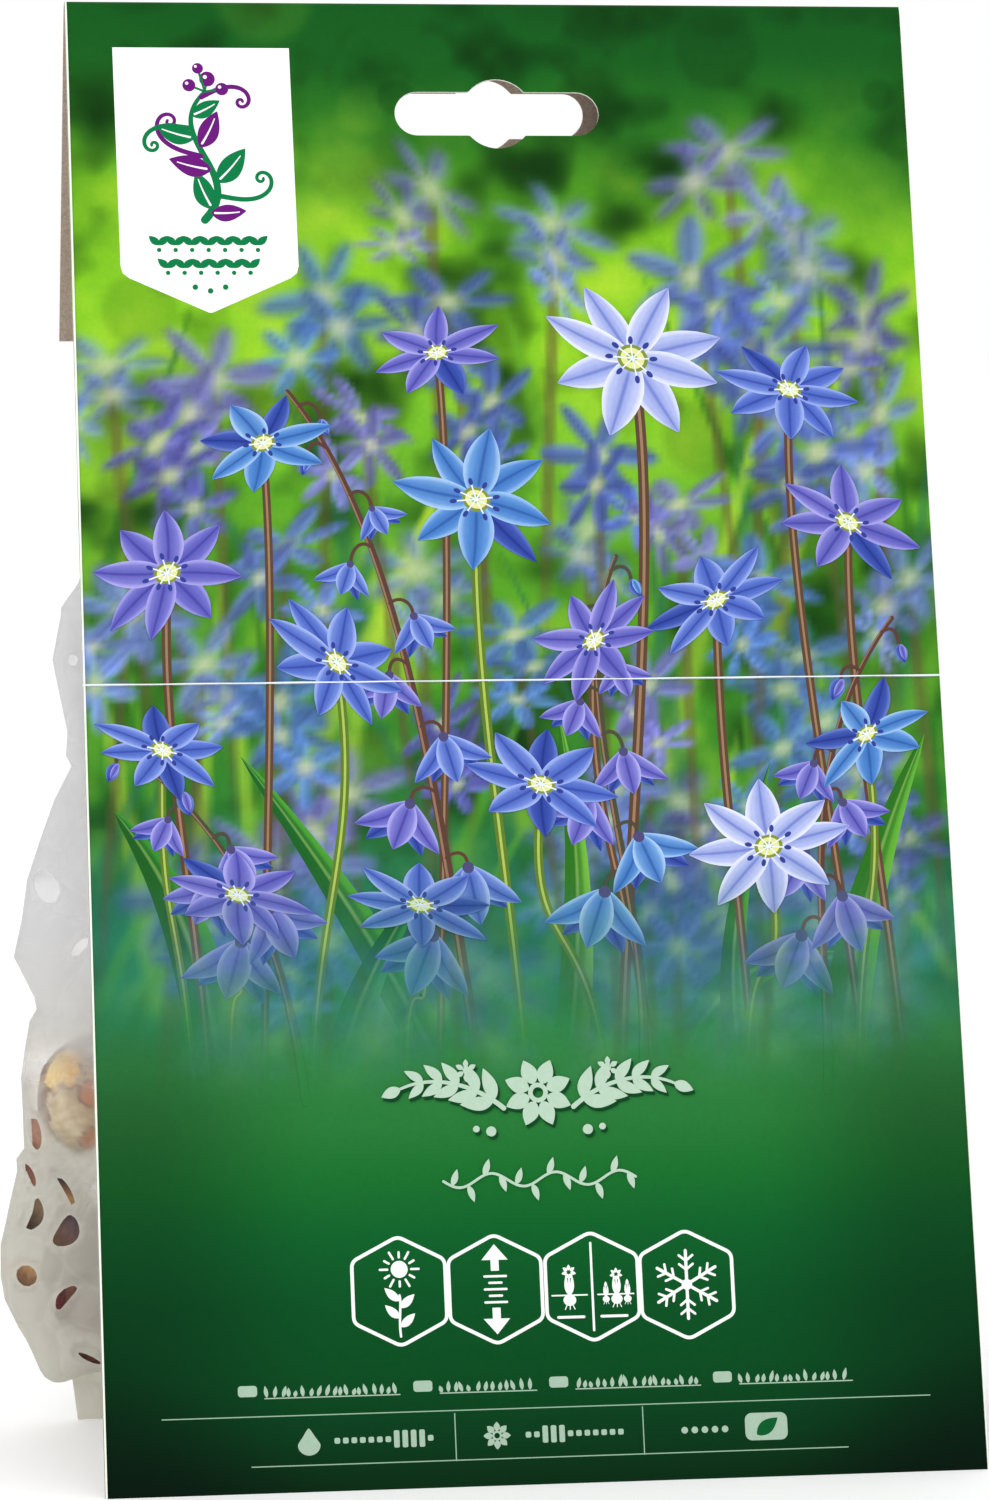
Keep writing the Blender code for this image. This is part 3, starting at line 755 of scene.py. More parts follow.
def petalShape(place, kind, length, width, turn, bend=0.0, flare=1.0, glow=0.0, squash=1.0, tilt=0.0):
    # along v the half width rises as a sine to its widest past the middle and closes to a point;
    # colour runs deep at the root, pale at the rim, with a dark midrib and fine veins
    deep, middle, pale = (srgb(tone) for tone in petals[kind])

    def outline(u, v):
        half = width / 2 * np.sin(pi * np.clip(v, 0, 1) ** (0.85 * flare)) ** 0.75 + 0.02 * width
        half = half * (1 - 0.25 * smooth(0.8, 1, v))
        a, b = turned(length * v, bend * length * v ** 2 + u * half, turn - tilt)
        return turned(a, b * squash, tilt, place)

    def tone(u, v):
        rim = np.abs(u)
        light = 0.75 * smooth(0.45, 1.0, rim) + 0.25 * smooth(0.1, 0.5, v) * (1 - v) + glow
        color = blend(middle, pale, light)
        color = blend(color, deep, 0.85 * (1 - smooth(0.04, 0.26, rim)) * smooth(0.02, 0.25, v))
        color = blend(color, deep, 0.25 * (0.5 + 0.5 * np.cos(u * 17)) * (1 - smooth(0.6, 1, rim)))
        color = blend(color, deep, 0.30 * smooth(0.75, 1, v) + 0.22 * u * (1 - rim))
        return blend(color, pale, 0.5 * (1 - smooth(0.0, 0.22, v)))
    return patchShape(15, 13, outline, tone)


def starBlossom(place, size, count, turn, kind, squash, tilt, seed):
    # petals round a heart in two layers, the lower ones turned between the upper ones
    draw = np.random.default_rng(seed)
    shapes = []
    for rank, index in enumerate([*range(1, count, 2), *range(0, count, 2)]):
        angle = turn + index * 2 * pi / count + draw.uniform(-0.10, 0.10)
        upper = rank >= count // 2
        shade = kind if upper or kind == "ice" else ("shadow" if draw.uniform() < 0.35 else kind)
        long, wide = size * draw.uniform(0.9, 1.05), size * draw.uniform(0.34, 0.42)
        glow = -0.12 * (not upper) + 0.08 * sin(angle - 2.2)
        shapes.append(petalShape(place, shade, long, wide, angle, draw.uniform(-0.14, 0.14),
                                 glow=glow, squash=squash, tilt=tilt))
    shapes.append(discShape(place, size * 0.17, "#7f8f3a", 18, squash, tilt))
    shapes.append(discShape(place, size * 0.13, "#dfe39a", 18, squash, tilt))
    shapes.append(discShape((place[0] - 0.1, place[1] - 0.1), size * 0.06, "#8fae3c", 14, squash, tilt))
    # stamens: a pale thread with a dark head
    for index in range(count):
        angle = turn + (index + 0.5) * 2 * pi / count + draw.uniform(-0.1, 0.1)
        a, b = turned(size * draw.uniform(0.22, 0.28), 0, angle - tilt)
        end = turned(a, b * squash, tilt, place)
        shapes.append(strokeShape([place, end], 0.22, "#e8ecfa"))
        shapes.append(discShape(end, size * 0.045, "#33408f", 10, 0.6, angle))
    return shapes


def bellBlossom(place, size, turn, kind, seed):
    # a nodding bell seen from the side: two petals behind, two flaring out, one in front
    draw = np.random.default_rng(seed)
    shapes = []
    parts = ((-0.30, "shadow", 0.40, -0.25, 0.0), (0.30, "shadow", 0.40, 0.25, 0.0),
             (-0.42, kind, 0.42, -0.42, 0.05), (0.42, kind, 0.42, 0.42, -0.05), (0.0, kind, 0.50, 0.0, 0.10))
    for spread, shade, wide, bend, glow in parts:
        shapes.append(petalShape(place, shade, size * draw.uniform(0.92, 1.06), size * wide,
                                 turn + spread + draw.uniform(-0.06, 0.06), bend, 1.15, glow))
    return shapes + [discShape(turned(0.05 * size, 0, turn, place), size * 0.10, "#4d4a78", 12)]


def bellSpray(path, width, bells, seed, kind, tone):
    # stalked bells on alternate sides of an arching stem, smaller to its tip, closed buds last
    draw = np.random.default_rng(seed)
    taper = np.linspace(width * 0.3, width * 0.12, len(path))
    shapes = [strokeShape(path, np.linspace(width, width * 0.45, len(path)), tone),
              strokeShape(path - [width * 0.18, 0], taper, "#93705a")]
    for index in range(bells):
        share = 1 - 0.085 * (bells - 1 - index) - 0.02
        at = path[int(share * (len(path) - 1))]
        side = 1 if index % 2 else -1
        size = 9.6 - 0.75 * index * (9 / max(bells, 6))
        hang = at + np.array([side * draw.uniform(2.2, 3.6), draw.uniform(1.0, 2.4)])
        stalk = bezier(at, at + [side * 1.6, -1.4], hang + [0, -1.8], hang, 10)
        shapes.append(strokeShape(stalk, 0.5, tone))
        turn = pi / 2 - side * draw.uniform(0.15, 0.55)
        if index > bells - 3:
            shapes += [petalShape(hang, "shadow", size * 0.8, size * 0.5, turn),
                       petalShape(hang + [0.3, 0], kind, size * 0.7, size * 0.26, turn, 0.05)]
        else:
            shapes += bellBlossom(hang, size, turn, kind if draw.uniform() < 0.7 else "violet", seed + index)
    return shapes


def bladeShape(path, width, dark, light):
    # a strap leaf: one half in shade, pale midrib, pointed tip
    step = unit(np.gradient(path, axis=0))
    normal = np.stack([-step[:, 1], step[:, 0]], -1)
    at = np.linspace(0, 1, len(path))

    def outline(u, v):
        half = width / 2 * (np.sin(pi * (0.12 + 0.88 * v) ** 0.9) ** 0.6) * (1 - 0.4 * v)
        base, out = (np.stack([np.interp(v, at, line[:, k]) for k in range(2)], -1)
                     for line in (path, normal))
        edge = base + out * (half * u)[:, None]
        return edge[:, 0], edge[:, 1]

    def tone(u, v):
        share = smooth(-0.1, 0.9, u) * 0.85 + 0.15 * np.sin(u * 14) * (1 - np.abs(u))
        color = blend(srgb(dark), srgb(light), share)
        return blend(color, srgb("#b9d97a"), 0.5 * (1 - smooth(0.0, 0.10, np.abs(u))))
    return patchShape(24, 11, outline, tone)


blossoms = {
    # place (x, drop), size, petals, turn, kind, how flat it is seen and along which line, how far its
    # stem leans, and whether that is green
    "stars": (
        (52, 83, 12.0, 7, 0.3, "violet", 0.7, 0.5, 4, 0), (-52, 90, 12.5, 8, 0.1, "violet", 0.75, -0.4, 4, 0),
        (31, 95, 12.0, 8, 0.5, "blue", 0.62, -0.5, 2, 0), (-43, 139, 11.5, 8, 0.2, "violet", 0.6, 0.3, -2, 1),
        (3, 123, 12.5, 8, 0.9, "blue", 0.66, 0.25, 8, 1), (-5, 79, 13.0, 8, 0.15, "sky", 0.85, 0.4, 4, 1),
        (37, 133, 13.0, 8, 0.6, "ice", 0.8, -0.2, -5, 1), (20, 57, 14.5, 8, 0.35, "ice", 0.86, 0.5, -7, 0),
        (-27, 104, 12.0, 8, 0.4, "blue", 0.7, 0.8, -6, 1), (-37, 70, 11.0, 7, 0.7, "sky", 0.7, -0.3, -3, 0),
        (44, 62, 11.5, 8, 0.2, "blue", 0.68, 0.3, 6, 0), (53, 116, 11.0, 7, 0.5, "sky", 0.62, -0.6, -4, 1),
        (-16, 141, 11.5, 8, 0.8, "blue", 0.6, 0.2, -3, 1), (12, 101, 11.0, 8, 0.1, "violet", 0.7, -0.7, 6, 0),
        (-53.5, 117, 10.5, 8, 0.6, "blue", 0.66, 0.4, 3, 1),
        (-10, 56, 10.5, 7, 0.2, "violet", 0.66, -0.2, -4, 0)),
    # a star's stem, brown or green: the tone of its outer part and of its light middle
    "stems": (("#5d4434", "#9a7a5c"), ("#5f7a2c", "#a9c25a")),
    # foot, middle and tip of each strap leaf, its width, dark and light tone
    "leaves": (
        ((-46, 168), (-50, 140), (-61, 126), 9, "#1d5a22", "#3f9a34"),
        ((-12, 170), (-26, 140), (-42, 118), 7, "#1c5f26", "#55a838"),
        ((4, 172), (10, 140), (6, 112), 6, "#2a6d1e", "#7fc244"),
        ((20, 170), (34, 146), (52, 150), 7, "#1f6b2a", "#4aa043"),
        ((46, 170), (50, 140), (62, 116), 8, "#2a6d1e", "#6db83e"),
        ((-30, 172), (-24, 150), (-14, 136), 6, "#17552a", "#3f9a4a"),
        ((32, 172), (28, 150), (38, 120), 5, "#1c5f26", "#55a838")),
    # the four points that bend each bell stem, its width, number of bells, seed, kind and tone
    "sprays": (
        (((-8, 168), (-12, 130), (-16, 84), (-33, 62)), 1.6, 10, 31, "blue", "#5a3f35"),
        (((44, 170), (46, 150), (40, 120), (58, 98)), 1.4, 8, 52, "violet", "#5a3f35"),
        (((-34, 170), (-36, 150), (-40, 132), (-60, 116)), 1.3, 7, 77, "violet", "#4c4a3a"),
        (((16, 170), (20, 140), (6, 110), (16, 88)), 1.4, 8, 15, "sky", "#4c4a3a")),
}


def makeBlossoms():
    leaves = []
    for foot, mid, tip, width, dark, light in blossoms["leaves"]:
        path = bezier(foot, (foot[0] * 0.6 + mid[0] * 0.4, foot[1] - 14), mid, tip, 24)
        leaves.append(bladeShape(path, width, dark, light))
    for x, drop, size, *_, lean, green in blossoms["stars"]:
        stem = bezier((x + lean, 170), (x + lean * 0.8, 140), (x - lean * 0.5, drop + 28), (x, drop + 1), 30)
        for wide, tone in zip((0.11, 0.03), blossoms["stems"][green]):
            leaves.append(strokeShape(stem, size * wide, tone))
    addInk("printedLeaves", leaves, sinks=True)
    sprays = []
    for path, *form in blossoms["sprays"]:
        sprays += bellSpray(bezier(*path, 60), *form)
    addInk("printedSprays", sprays, sinks=True)
    stars = []
    for x, drop, *form, _, _ in sorted(blossoms["stars"], key=lambda flower: flower[1]):
        stars += starBlossom((x, drop), *form, seed=int(drop))
    addInk("printedStars", stars, sinks=True)


makeBlossoms()
print("blossoms done")

label = {
    "mint": "#b6cfba", "mintDim": "#96b69d", "footMint": "#a6bfaa", "white": "#f4f7f3",
    "green": "#0c7a45", "purple": "#6a1a78", "shadow": "#0b4420", "paper": "#fdfdfd",
}


def arc(centre, radius, first, last, count):
    angle = np.linspace(first, last, count)
    return np.stack([centre[0] + radius * np.cos(angle), centre[1] + radius * np.sin(angle)], -1)


def leafShape(place, length, width, turn, tone, bend=0.0, count=13):
    # a leaf from its foot to its pointed tip, bent to one side by a share of its length
    t = np.linspace(0, 1, count)
    half = width / 2 * np.sin(pi * t ** 0.85) ** 0.9
    a = np.concatenate([length * t, length * t[-2:0:-1]])
    b = np.concatenate([half, -half[-2:0:-1]]) + bend * length * (a / length) ** 2
    return polygonShape(np.stack(turned(a, b, turn, place), -1), tone)


def petalRing(place, start, length, width, tone, count, turn=0.0, points=9):
    # pointed petals all round a place, each one's foot a little way out from it
    headings = [index * 2 * pi / count + turn for index in range(count)]
    return [leafShape(turned(start, 0, heading, place), length, width, heading, tone, count=points)
            for heading in headings]


def roundFlower(place, size, tone, count=8):
    # broad rounded petals round a ring
    ring = strokeShape(arc(place, 0.22 * size, 0, 2 * pi * 19 / 20, 20), 0.13 * size, tone, closed=True)
    return petalRing(place, 0.26 * size, 0.74 * size, 0.46 * size, tone, count, pi / count, 13) + [ring]


def smallFlower(place, size, tone):
    ring = strokeShape(arc(place, 0.3 * size, 0, 2 * pi * 13 / 14, 14), 0.16 * size, tone, closed=True)
    return petalRing(place, 0.34 * size, 0.72 * size, 0.5 * size, tone, 8) + [ring]


def barShape(low, high, radius, tone, count=5):
    # a bar with rounded corners
    corners = [((high[0] - radius, high[1] - radius), 0), ((low[0] + radius, high[1] - radius), pi / 2),
               ((low[0] + radius, low[1] + radius), pi), ((high[0] - radius, low[1] + radius), 1.5 * pi)]
    edge = np.concatenate([arc(centre, radius, turn, turn + pi / 2, count) for centre, turn in corners])
    return polygonShape(edge, tone)


pennant = {
    "outline": ((-57.9, 7.6), (-30.9, 7.6), (-30.6, 42.3), (-30.9, 43.4), (-31.9, 44.2), (-43.9, 49.6),
                (-44.4, 49.6), (-56.3, 44.2), (-57.3, 43.4), (-57.6, 42.3)),
    "stem": ((-44.6, 35.0), (-37.5, 27.5), (-51.5, 22.0), (-44.0, 14.6)),
    # how far along the stem, on which side, length, ink
    "leaves": ((0.06, 1, 5.4, "purple"), (0.10, -1, 6.4, "green"), (0.30, 1, 7.0, "green"),
               (0.40, -1, 6.6, "purple"), (0.58, 1, 6.4, "purple"), (0.66, -1, 6.4, "green"),
               (0.84, 1, 5.0, "green")),
    # how far along the stem, heading, to which side it winds, size, ink
    "tendrils": ((0.5, -2.9, 1, 1.9, "purple"), (0.2, 0.2, -1, 1.8, "green"), (0.74, 3.3, -1, 1.6, "green"),
                 (0.95, -0.5, 1, 1.6, "purple")),
    "berries": (((-43.6, 12.6), 1.2), ((-46.4, 13.6), 1.0), ((-41.4, 14.2), 1.0), ((-45.0, 10.9), 0.85)),
    # rows of leaf pairs below the sprig, (drop, number), and the dots under them
    "frieze": ((39.0, 7), (42.6, 6)), "dots": ((-46.4, 45.6), (-44.1, 46.2), (-41.8, 45.6)),
    "middle": -44.2, "friezePitch": 2.5,
}


def makeBadge():
    # a white pennant with a climbing sprig: leaves, berries and tendrils in two inks
    green, paper = label["green"], label["paper"]
    shapes = [polygonShape(pennant["outline"], paper)]
    count = 40
    stem = bezier(*pennant["stem"], count)
    shapes.append(strokeShape(stem, np.linspace(1.3, 0.6, count), green))
    reach = np.linspace(0.12, 0.8, 12)
    for share, side, length, ink in pennant["leaves"]:
        index = int(share * (count - 1))
        ahead = stem[min(index + 1, count - 1)] - stem[max(index - 1, 0)]
        turn = atan2(ahead[1], ahead[0]) + side * 1.05
        bend = -side * 0.14
        shapes.append(leafShape(stem[index], length, length * 0.5, turn, label[ink], bend, 17))
        rib = np.stack(turned(reach * length, bend * length * reach ** 2, turn, stem[index]), -1)
        shapes.append(strokeShape(rib, np.linspace(0.34, 0.16, 12), paper))
    t = np.linspace(0, 1, 44)
    for share, heading, side, size, ink in pennant["tendrils"]:
        # a tendril leaves the stem straight and winds up into a closing spiral
        bend = heading + side * 8.2 * t ** 2.2
        stride = size * 0.20 * (1.5 - 1.1 * t)
        path = np.cumsum(np.stack([np.cos(bend) * stride, np.sin(bend) * stride], -1), axis=0)
        path += stem[int(share * (count - 1))]
        shapes.append(strokeShape(path, np.linspace(0.8, 0.45, 44), label[ink]))
    for centre, radius in pennant["berries"]:
        shapes.append(strokeShape([stem[-1], centre], 0.35, green))
        shapes.append(discShape(centre, radius, label["purple"], 22))
        shapes.append(discShape((centre[0] - 0.32, centre[1] - 0.32), radius * 0.26, paper, 10))
    for drop, pairs in pennant["frieze"]:
        for index in range(pairs):
            x = pennant["middle"] + (index - (pairs - 1) / 2) * pennant["friezePitch"]
            for side in (-1, 1):
                shapes.append(leafShape((x, drop), 2.1, 1.15, -pi / 2 + side * 0.7, green, side * 0.1, 9))
            shapes.append(discShape((x, drop + 0.75), 0.34, green, 12))
    for centre in pennant["dots"]:
        shapes.append(discShape(centre, 0.42, green, 14))
    addInk("printedBadge", shapes)


def sproutMotif(place, size, tone, blossom):
    # a bulb on its root plate with two leaves and a stalk that ends in a bud or a small flower
    x, base = place
    angle = np.linspace(0, 2 * pi, 30, endpoint=False)
    swell = 1 - 0.16 * np.maximum(0, -np.sin(angle)) ** 3
    edge = np.stack([x + 0.19 * size * np.cos(angle) * swell, base + 0.17 * size * np.sin(angle)], -1)
    shapes = [polygonShape(edge, tone)]
    for side in (-1, 1):
        turn = -pi / 2 + side * 0.42
        shapes.append(leafShape((x, base - 0.12 * size), 0.62 * size, 0.13 * size, turn, tone, -side * 0.30))
    shapes.append(strokeShape([(x, base - 0.1 * size), (x, base - 0.72 * size)], 0.055 * size, tone))
    for shift in (-0.09, 0.0, 0.09):
        root = [(x + shift * size, base + 0.15 * size), (x + shift * 1.6 * size, base + 0.27 * size)]
        shapes.append(strokeShape(root, 0.03 * size, tone))
    if blossom:
        head = (x, base - 0.82 * size)
        return shapes + petalRing(head, 0.05 * size, 0.17 * size, 0.105 * size, tone, 7, -pi / 2)
    return shapes + [leafShape((x, base - 0.66 * size), 0.3 * size, 0.15 * size, -pi / 2, tone)]


def shifted(shapes, shift, tone):
    # the same shapes moved and in one tone, for the soft dark print under pale artwork
    return [(places + shift, faces, evenTone(tone, len(places))) for places, faces, _ in shapes]


def leafSpray(start, end, rise, pairs, tone, length):
    # a curved branch with pairs of leaves, each pair smaller, and a bud at its end
    start, end = np.array(start, float), np.array(end, float)
    lift = np.array([0, -rise])
    path = bezier(start, start + (end - start) * 0.3 + lift, start + (end - start) * 0.7 + lift, end, 40)
    shapes = [strokeShape(path, np.linspace(0.75, 0.4, 40), tone)]
    for index in range(pairs):
        place = int(4 + 33 * index / pairs)
        ahead = path[place + 1] - path[place]
        turn = atan2(ahead[1], ahead[0])
        size = length * (1 - 0.45 * index / pairs)
        for side in (-1, 1):
            shapes.append(leafShape(path[place], size, size * 0.42, turn + side * 0.85, tone, -side * 0.16))
    ahead = path[-1] - path[-3]
    return shapes + [leafShape(path[-1], length * 0.62, length * 0.34, atan2(ahead[1], ahead[0]), tone)]


title = {"middle": 0.4, "drop": 169.4, "wave": (-14.2, 28.6, 182.2, 1.0), "shade": (0.28, 0.45)}


def makeTitle():
    # a garland: a round flower between two leafy branches, over a waving line of small leaves
    mint, middle, drop = label["mint"], title["middle"], title["drop"]
    garland = roundFlower((middle, drop), 5.2, mint)
    for side in (-1, 1):
        start, end = (middle + side * 5.2, drop + 2.2), (middle + side * 20.4, drop - 1.0)
        garland += leafSpray(start, end, 3.0, 5, mint, 5.0)
        garland += roundFlower((middle + side * 10.6, drop - 3.5), 1.7, mint, 6)
        garland.append(discShape((middle + side * 7.2, drop + 5.6), 0.75, mint, 18))
        garland.append(discShape((middle + side * 9.4, drop + 5.2), 0.5, mint, 14))
    left, long, low, swing = title["wave"]

    def wave(t):
        return left + long * t, low + swing * np.sin(t * 6 * pi)

    line = [strokeShape(np.stack(wave(np.linspace(0, 1, 60)), -1), 0.38, mint)]
    for index in range(12):
        side = 1 if index % 2 else -1
        turn = side * pi / 2 - side * 0.5
        line.append(leafShape(wave((index + 0.5) / 12), 2.6, 1.0, turn, mint, side * 0.15, 9))
    # only the garland has dark print under it
    addInk("printedTitleShade", shifted(garland, title["shade"], label["shadow"]))
    addInk("printedTitle", garland + line)


def hexOutline(centre, wide, tall, corner=0.9):
    # a hexagon standing on its point, its corners rounded by short curves
    x, y = centre
    knots = np.array([(x, y - tall), (x + wide, y - tall * 0.56), (x + wide, y + tall * 0.56), (x, y + tall),
                      (x - wide, y + tall * 0.56), (x - wide, y - tall * 0.56)])
    t = np.linspace(0, 1, 6)[:, None]
    rounded = []
    for before, knot, after in zip(np.roll(knots, 1, axis=0), knots, np.roll(knots, -1, axis=0)):
        first, last = (knot + unit(other - knot) * corner for other in (before, after))
        rounded.append(first * (1 - t) ** 2 + 2 * knot * t * (1 - t) + last * t ** 2)
    return np.concatenate(rounded)


def arrowShape(x, tip, sign, tone):
    corners = ((0, 0), (1.95, 2.3), (0.6, 2.3), (0.6, 3.9), (-0.6, 3.9), (-0.6, 2.3), (-1.95, 2.3))
    return polygonShape([(x + dx, tip + sign * dy) for dx, dy in corners], tone)


pictograms = {
    "centres": ((-21.3, 198.1), (-7.1, 198.2), (7.2, 198.2), (21.3, 198.3)), "wide": 6.85, "tall": 8.0,
    # the widths of the frame, the usual line, the fine line and the bold line
    "frame": 0.52, "line": 0.34, "fine": 0.22, "bold": 0.4, "frost": (0.46, 0.36),
}


def makePictograms():
    white, line, fine = label["white"], pictograms["line"], pictograms["fine"]
    shapes = []

    def rule(x0, y0, x1, y1, width=line):
        shapes.append(strokeShape([(x0, y0), (x1, y1)], width, white))

    for centre in pictograms["centres"]:
        outline = hexOutline(centre, pictograms["wide"], pictograms["tall"])
        shapes.append(strokeShape(outline, pictograms["frame"], white, closed=True))
    # sun over a leafy sprig
    x, y = pictograms["centres"][0]
    sun = (x + 0.1, y - 3.2)
    shapes.append(discShape(sun, 1.25, white, 24))
    for index in range(12):
        far = 2.5 if index % 2 else 2.85
        rule(*turned(1.75, 0, index * pi / 6, sun), *turned(far, 0, index * pi / 6, sun))
    sprig = bezier((x, y + 6.6), (x - 0.3, y + 4), (x + 0.3, y + 2), (x, y + 0.6), 12)
    shapes.append(strokeShape(sprig, line, white))
    for low, side in ((5.2, 1), (3.9, -1), (2.4, 1), (1.4, -1)):
        shapes.append(leafShape((x, y + low), 2.9, 1.25, -pi / 2 + side * 0.95, white, -side * 0.1))
    # height arrows and a ladder of even marks
    x, y = pictograms["centres"][1]
    shapes += [arrowShape(x, y - 6.6, 1, white), arrowShape(x, y + 6.6, -1, white)]
    for index in range(5):
        half = 1.6 if index % 2 == 0 else 0.9
        rule(x - half, y - 1.9 + index * 0.95, x + half, y - 1.9 + index * 0.95)
    # one plant beside several
    x, y = pictograms["centres"][2]
    rule(x, y - 6.4, x, y + 6.4)
    for dx, size in ((-3.4, 5.0), (2.0, 2.7), (3.6, 4.4), (5.2, 3.0)):
        shapes += sproutMotif((x + dx, y + 1.9), size, white, size > 4)
    rule(x - 6.0, y + 1.2, x - 0.8, y + 1.2, fine)
    rule(x + 0.8, y + 1.2, x + 6.1, y + 1.2, fine)
    for low in (-5.2, 1.2):
        rule(x + low, y + 4.4, x + low + 3.8, y + 4.4, pictograms["bold"])
    # snow crystal
    centre = pictograms["centres"][3]
    arm, twig = pictograms["frost"]
    for index in range(6):
        turn = index * pi / 3 + pi / 6
        rule(*centre, *turned(5.0, 0, turn, centre), arm)
        for reach in (2.2, 3.5):
            at = turned(reach, 0, turn, centre)
            for side in (-0.9, 0.9):
                rule(*at, *turned(1.3, 0, turn + side, at), twig)
    shapes.append(discShape(centre, 0.9, white, 6, 1.0, pi / 6))
    addInk("printedPictograms", shapes)


foot = {
    # thin rules, (x, drop) at both ends
    "rules": (((-56.5, 215.7), (56.8, 215.6)), ((-43.7, 222.9), (44.1, 222.8)),
              ((-13.9, 216.1), (-13.9, 222.9)), ((13.8, 216.0), (13.8, 222.9))),
    # left and right end of each row of leaves, where they stand and how they are drawn
    "rows": ((-45.4, -21.8), (-19.8, -1.7), (0.2, 22.6), (24.5, 45.3)), "rowDrop": 213.0, "seed": 9,
    # season marks: where they start, and which of the twelve are tall
    "seasons": ((-31.6, 7, 10), (-3.6, 2, 4)), "seasonDrop": 219.5, "seasonPitch": 1.24,
    "drop": (-35.3, 220.0), "flower": (-7.8, 219.5), "dots": (19.9, 219.6, 1.5), "chipLeaf": "#0a5a2c",
}


def makeFoot():
    # thin rules, four chips each with a row of small leaves, and a band of season marks
    mint, low = label["footMint"], foot["rowDrop"]
    shapes = [strokeShape(ends, 0.16, label["mintDim"]) for ends in foot["rules"]]
    draw = np.random.default_rng(foot["seed"])
    for left, right in foot["rows"]:
        shapes.append(barShape((left, low - 1.8), (left + 2.8, low - 0.2), 0.45, mint))
        x = left + 4.2
        while x < right - 0.4:
            tall = draw.uniform(1.0, 1.9)
            shapes.append(leafShape((x, low), tall, 0.62, -pi / 2 + draw.uniform(-0.35, 0.35), mint, count=9))
            x += draw.uniform(0.85, 1.25)
        shapes.append(strokeShape([(left + 3.9, low + 0.1), (right, low + 0.1)], 0.17, mint))
    # a water drop: a circle narrowed and drawn out to its top
    angle = np.linspace(0, 2 * pi, 30, endpoint=False)
    top = np.maximum(0, -np.sin(angle))
    x, y = foot["drop"]
    edge = (x + 1.65 * np.cos(angle) * (1 - 0.55 * top ** 1.4), y + 1.5 * np.sin(angle) - 0.9 * top ** 3)
    shapes.append(polygonShape(np.stack(edge, -1), mint))
    shapes += smallFlower(foot["flower"], 1.9, mint)
    middle = foot["seasonDrop"]
    for start, first, last in foot["seasons"]:
        for index in range(12):
            x = start + index * foot["seasonPitch"]
            tall = 1.25 if first <= index <= last else 0.42
            shapes.append(barShape((x, middle - tall), (x + 0.82, middle + tall), 0.2, mint, 3))
    x, y, pitch = foot["dots"]
    shapes += [discShape((x + index * pitch, y), 0.5, mint, 12) for index in range(5)]
    shapes.append(barShape((28.9, 217.4), (35.2, 221.4), 1.0, mint))
    shapes.append(leafShape((30.6, 220.6), 4.0, 2.0, -0.65, foot["chipLeaf"]))
    addInk("printedFoot", shapes)


def makeFlapPrint():
    # the flap carries a plain label field and rules; its places are past the fold, so drop is below 0
    top = -(foldLength - card["foldRadius"])
    shapes = [barShape((-56.0, top - 47.0), (-8.0, top - 27.0), 1.6, "#f3f4ee")]
    for index, wide in enumerate((24, 42, 38, 42, 18)):
        low = top - 29.5 - index * 3.6
        shapes.append(strokeShape([(-54.0, low), (-54.0 + wide, low)], 0.5, "#7f9a86"))
    for low in (top - 26.0, top - 31.5, top - 37.0, top - 42.5):
        shapes.append(strokeShape([(0.0, low), (56.0, low)], 0.2, label["mintDim"]))
    for index in range(4):
        shapes += smallFlower((6.0 + index * 14.0, top - 46.4), 2.2, label["mint"])
    addInk("printedFlap", shapes)


def makeCreaseLine():
    # where the board was bent once, the ink has cracked to a fine pale line
    half = card["width"] / 2 - 0.05
    x = np.linspace(-half, half, 200)
    drop = card["creaseDrop"] + 0.02 * np.sin(x / 2.3)
    worn = 0.20 + 0.06 * np.sin(x / 3.1) * np.sin(x / 7.7)
    addInk("printedCrease", [strokeShape(np.stack([x, drop], -1), worn, picture["worn"])])


def makeEdges():
    # the print stops short of the cut at the sides, where the bare white liner shows
    drop = np.linspace(0.3, card["frontHeight"] - 0.05, 120)
    for name, x, wide in (("barePrintEdgeLeft", -64.80, 0.28), ("barePrintEdgeRight", 64.90, 0.18)):
        addInk(name, [strokeShape(np.stack([np.full(120, x), drop], -1), wide, "#f2f6ea")])


makeEdges()
makeBadge()
makeTitle()
makePictograms()
makeFoot()
makeFlapPrint()
makeCreaseLine()
print("artwork done")

# ---- film bag ----

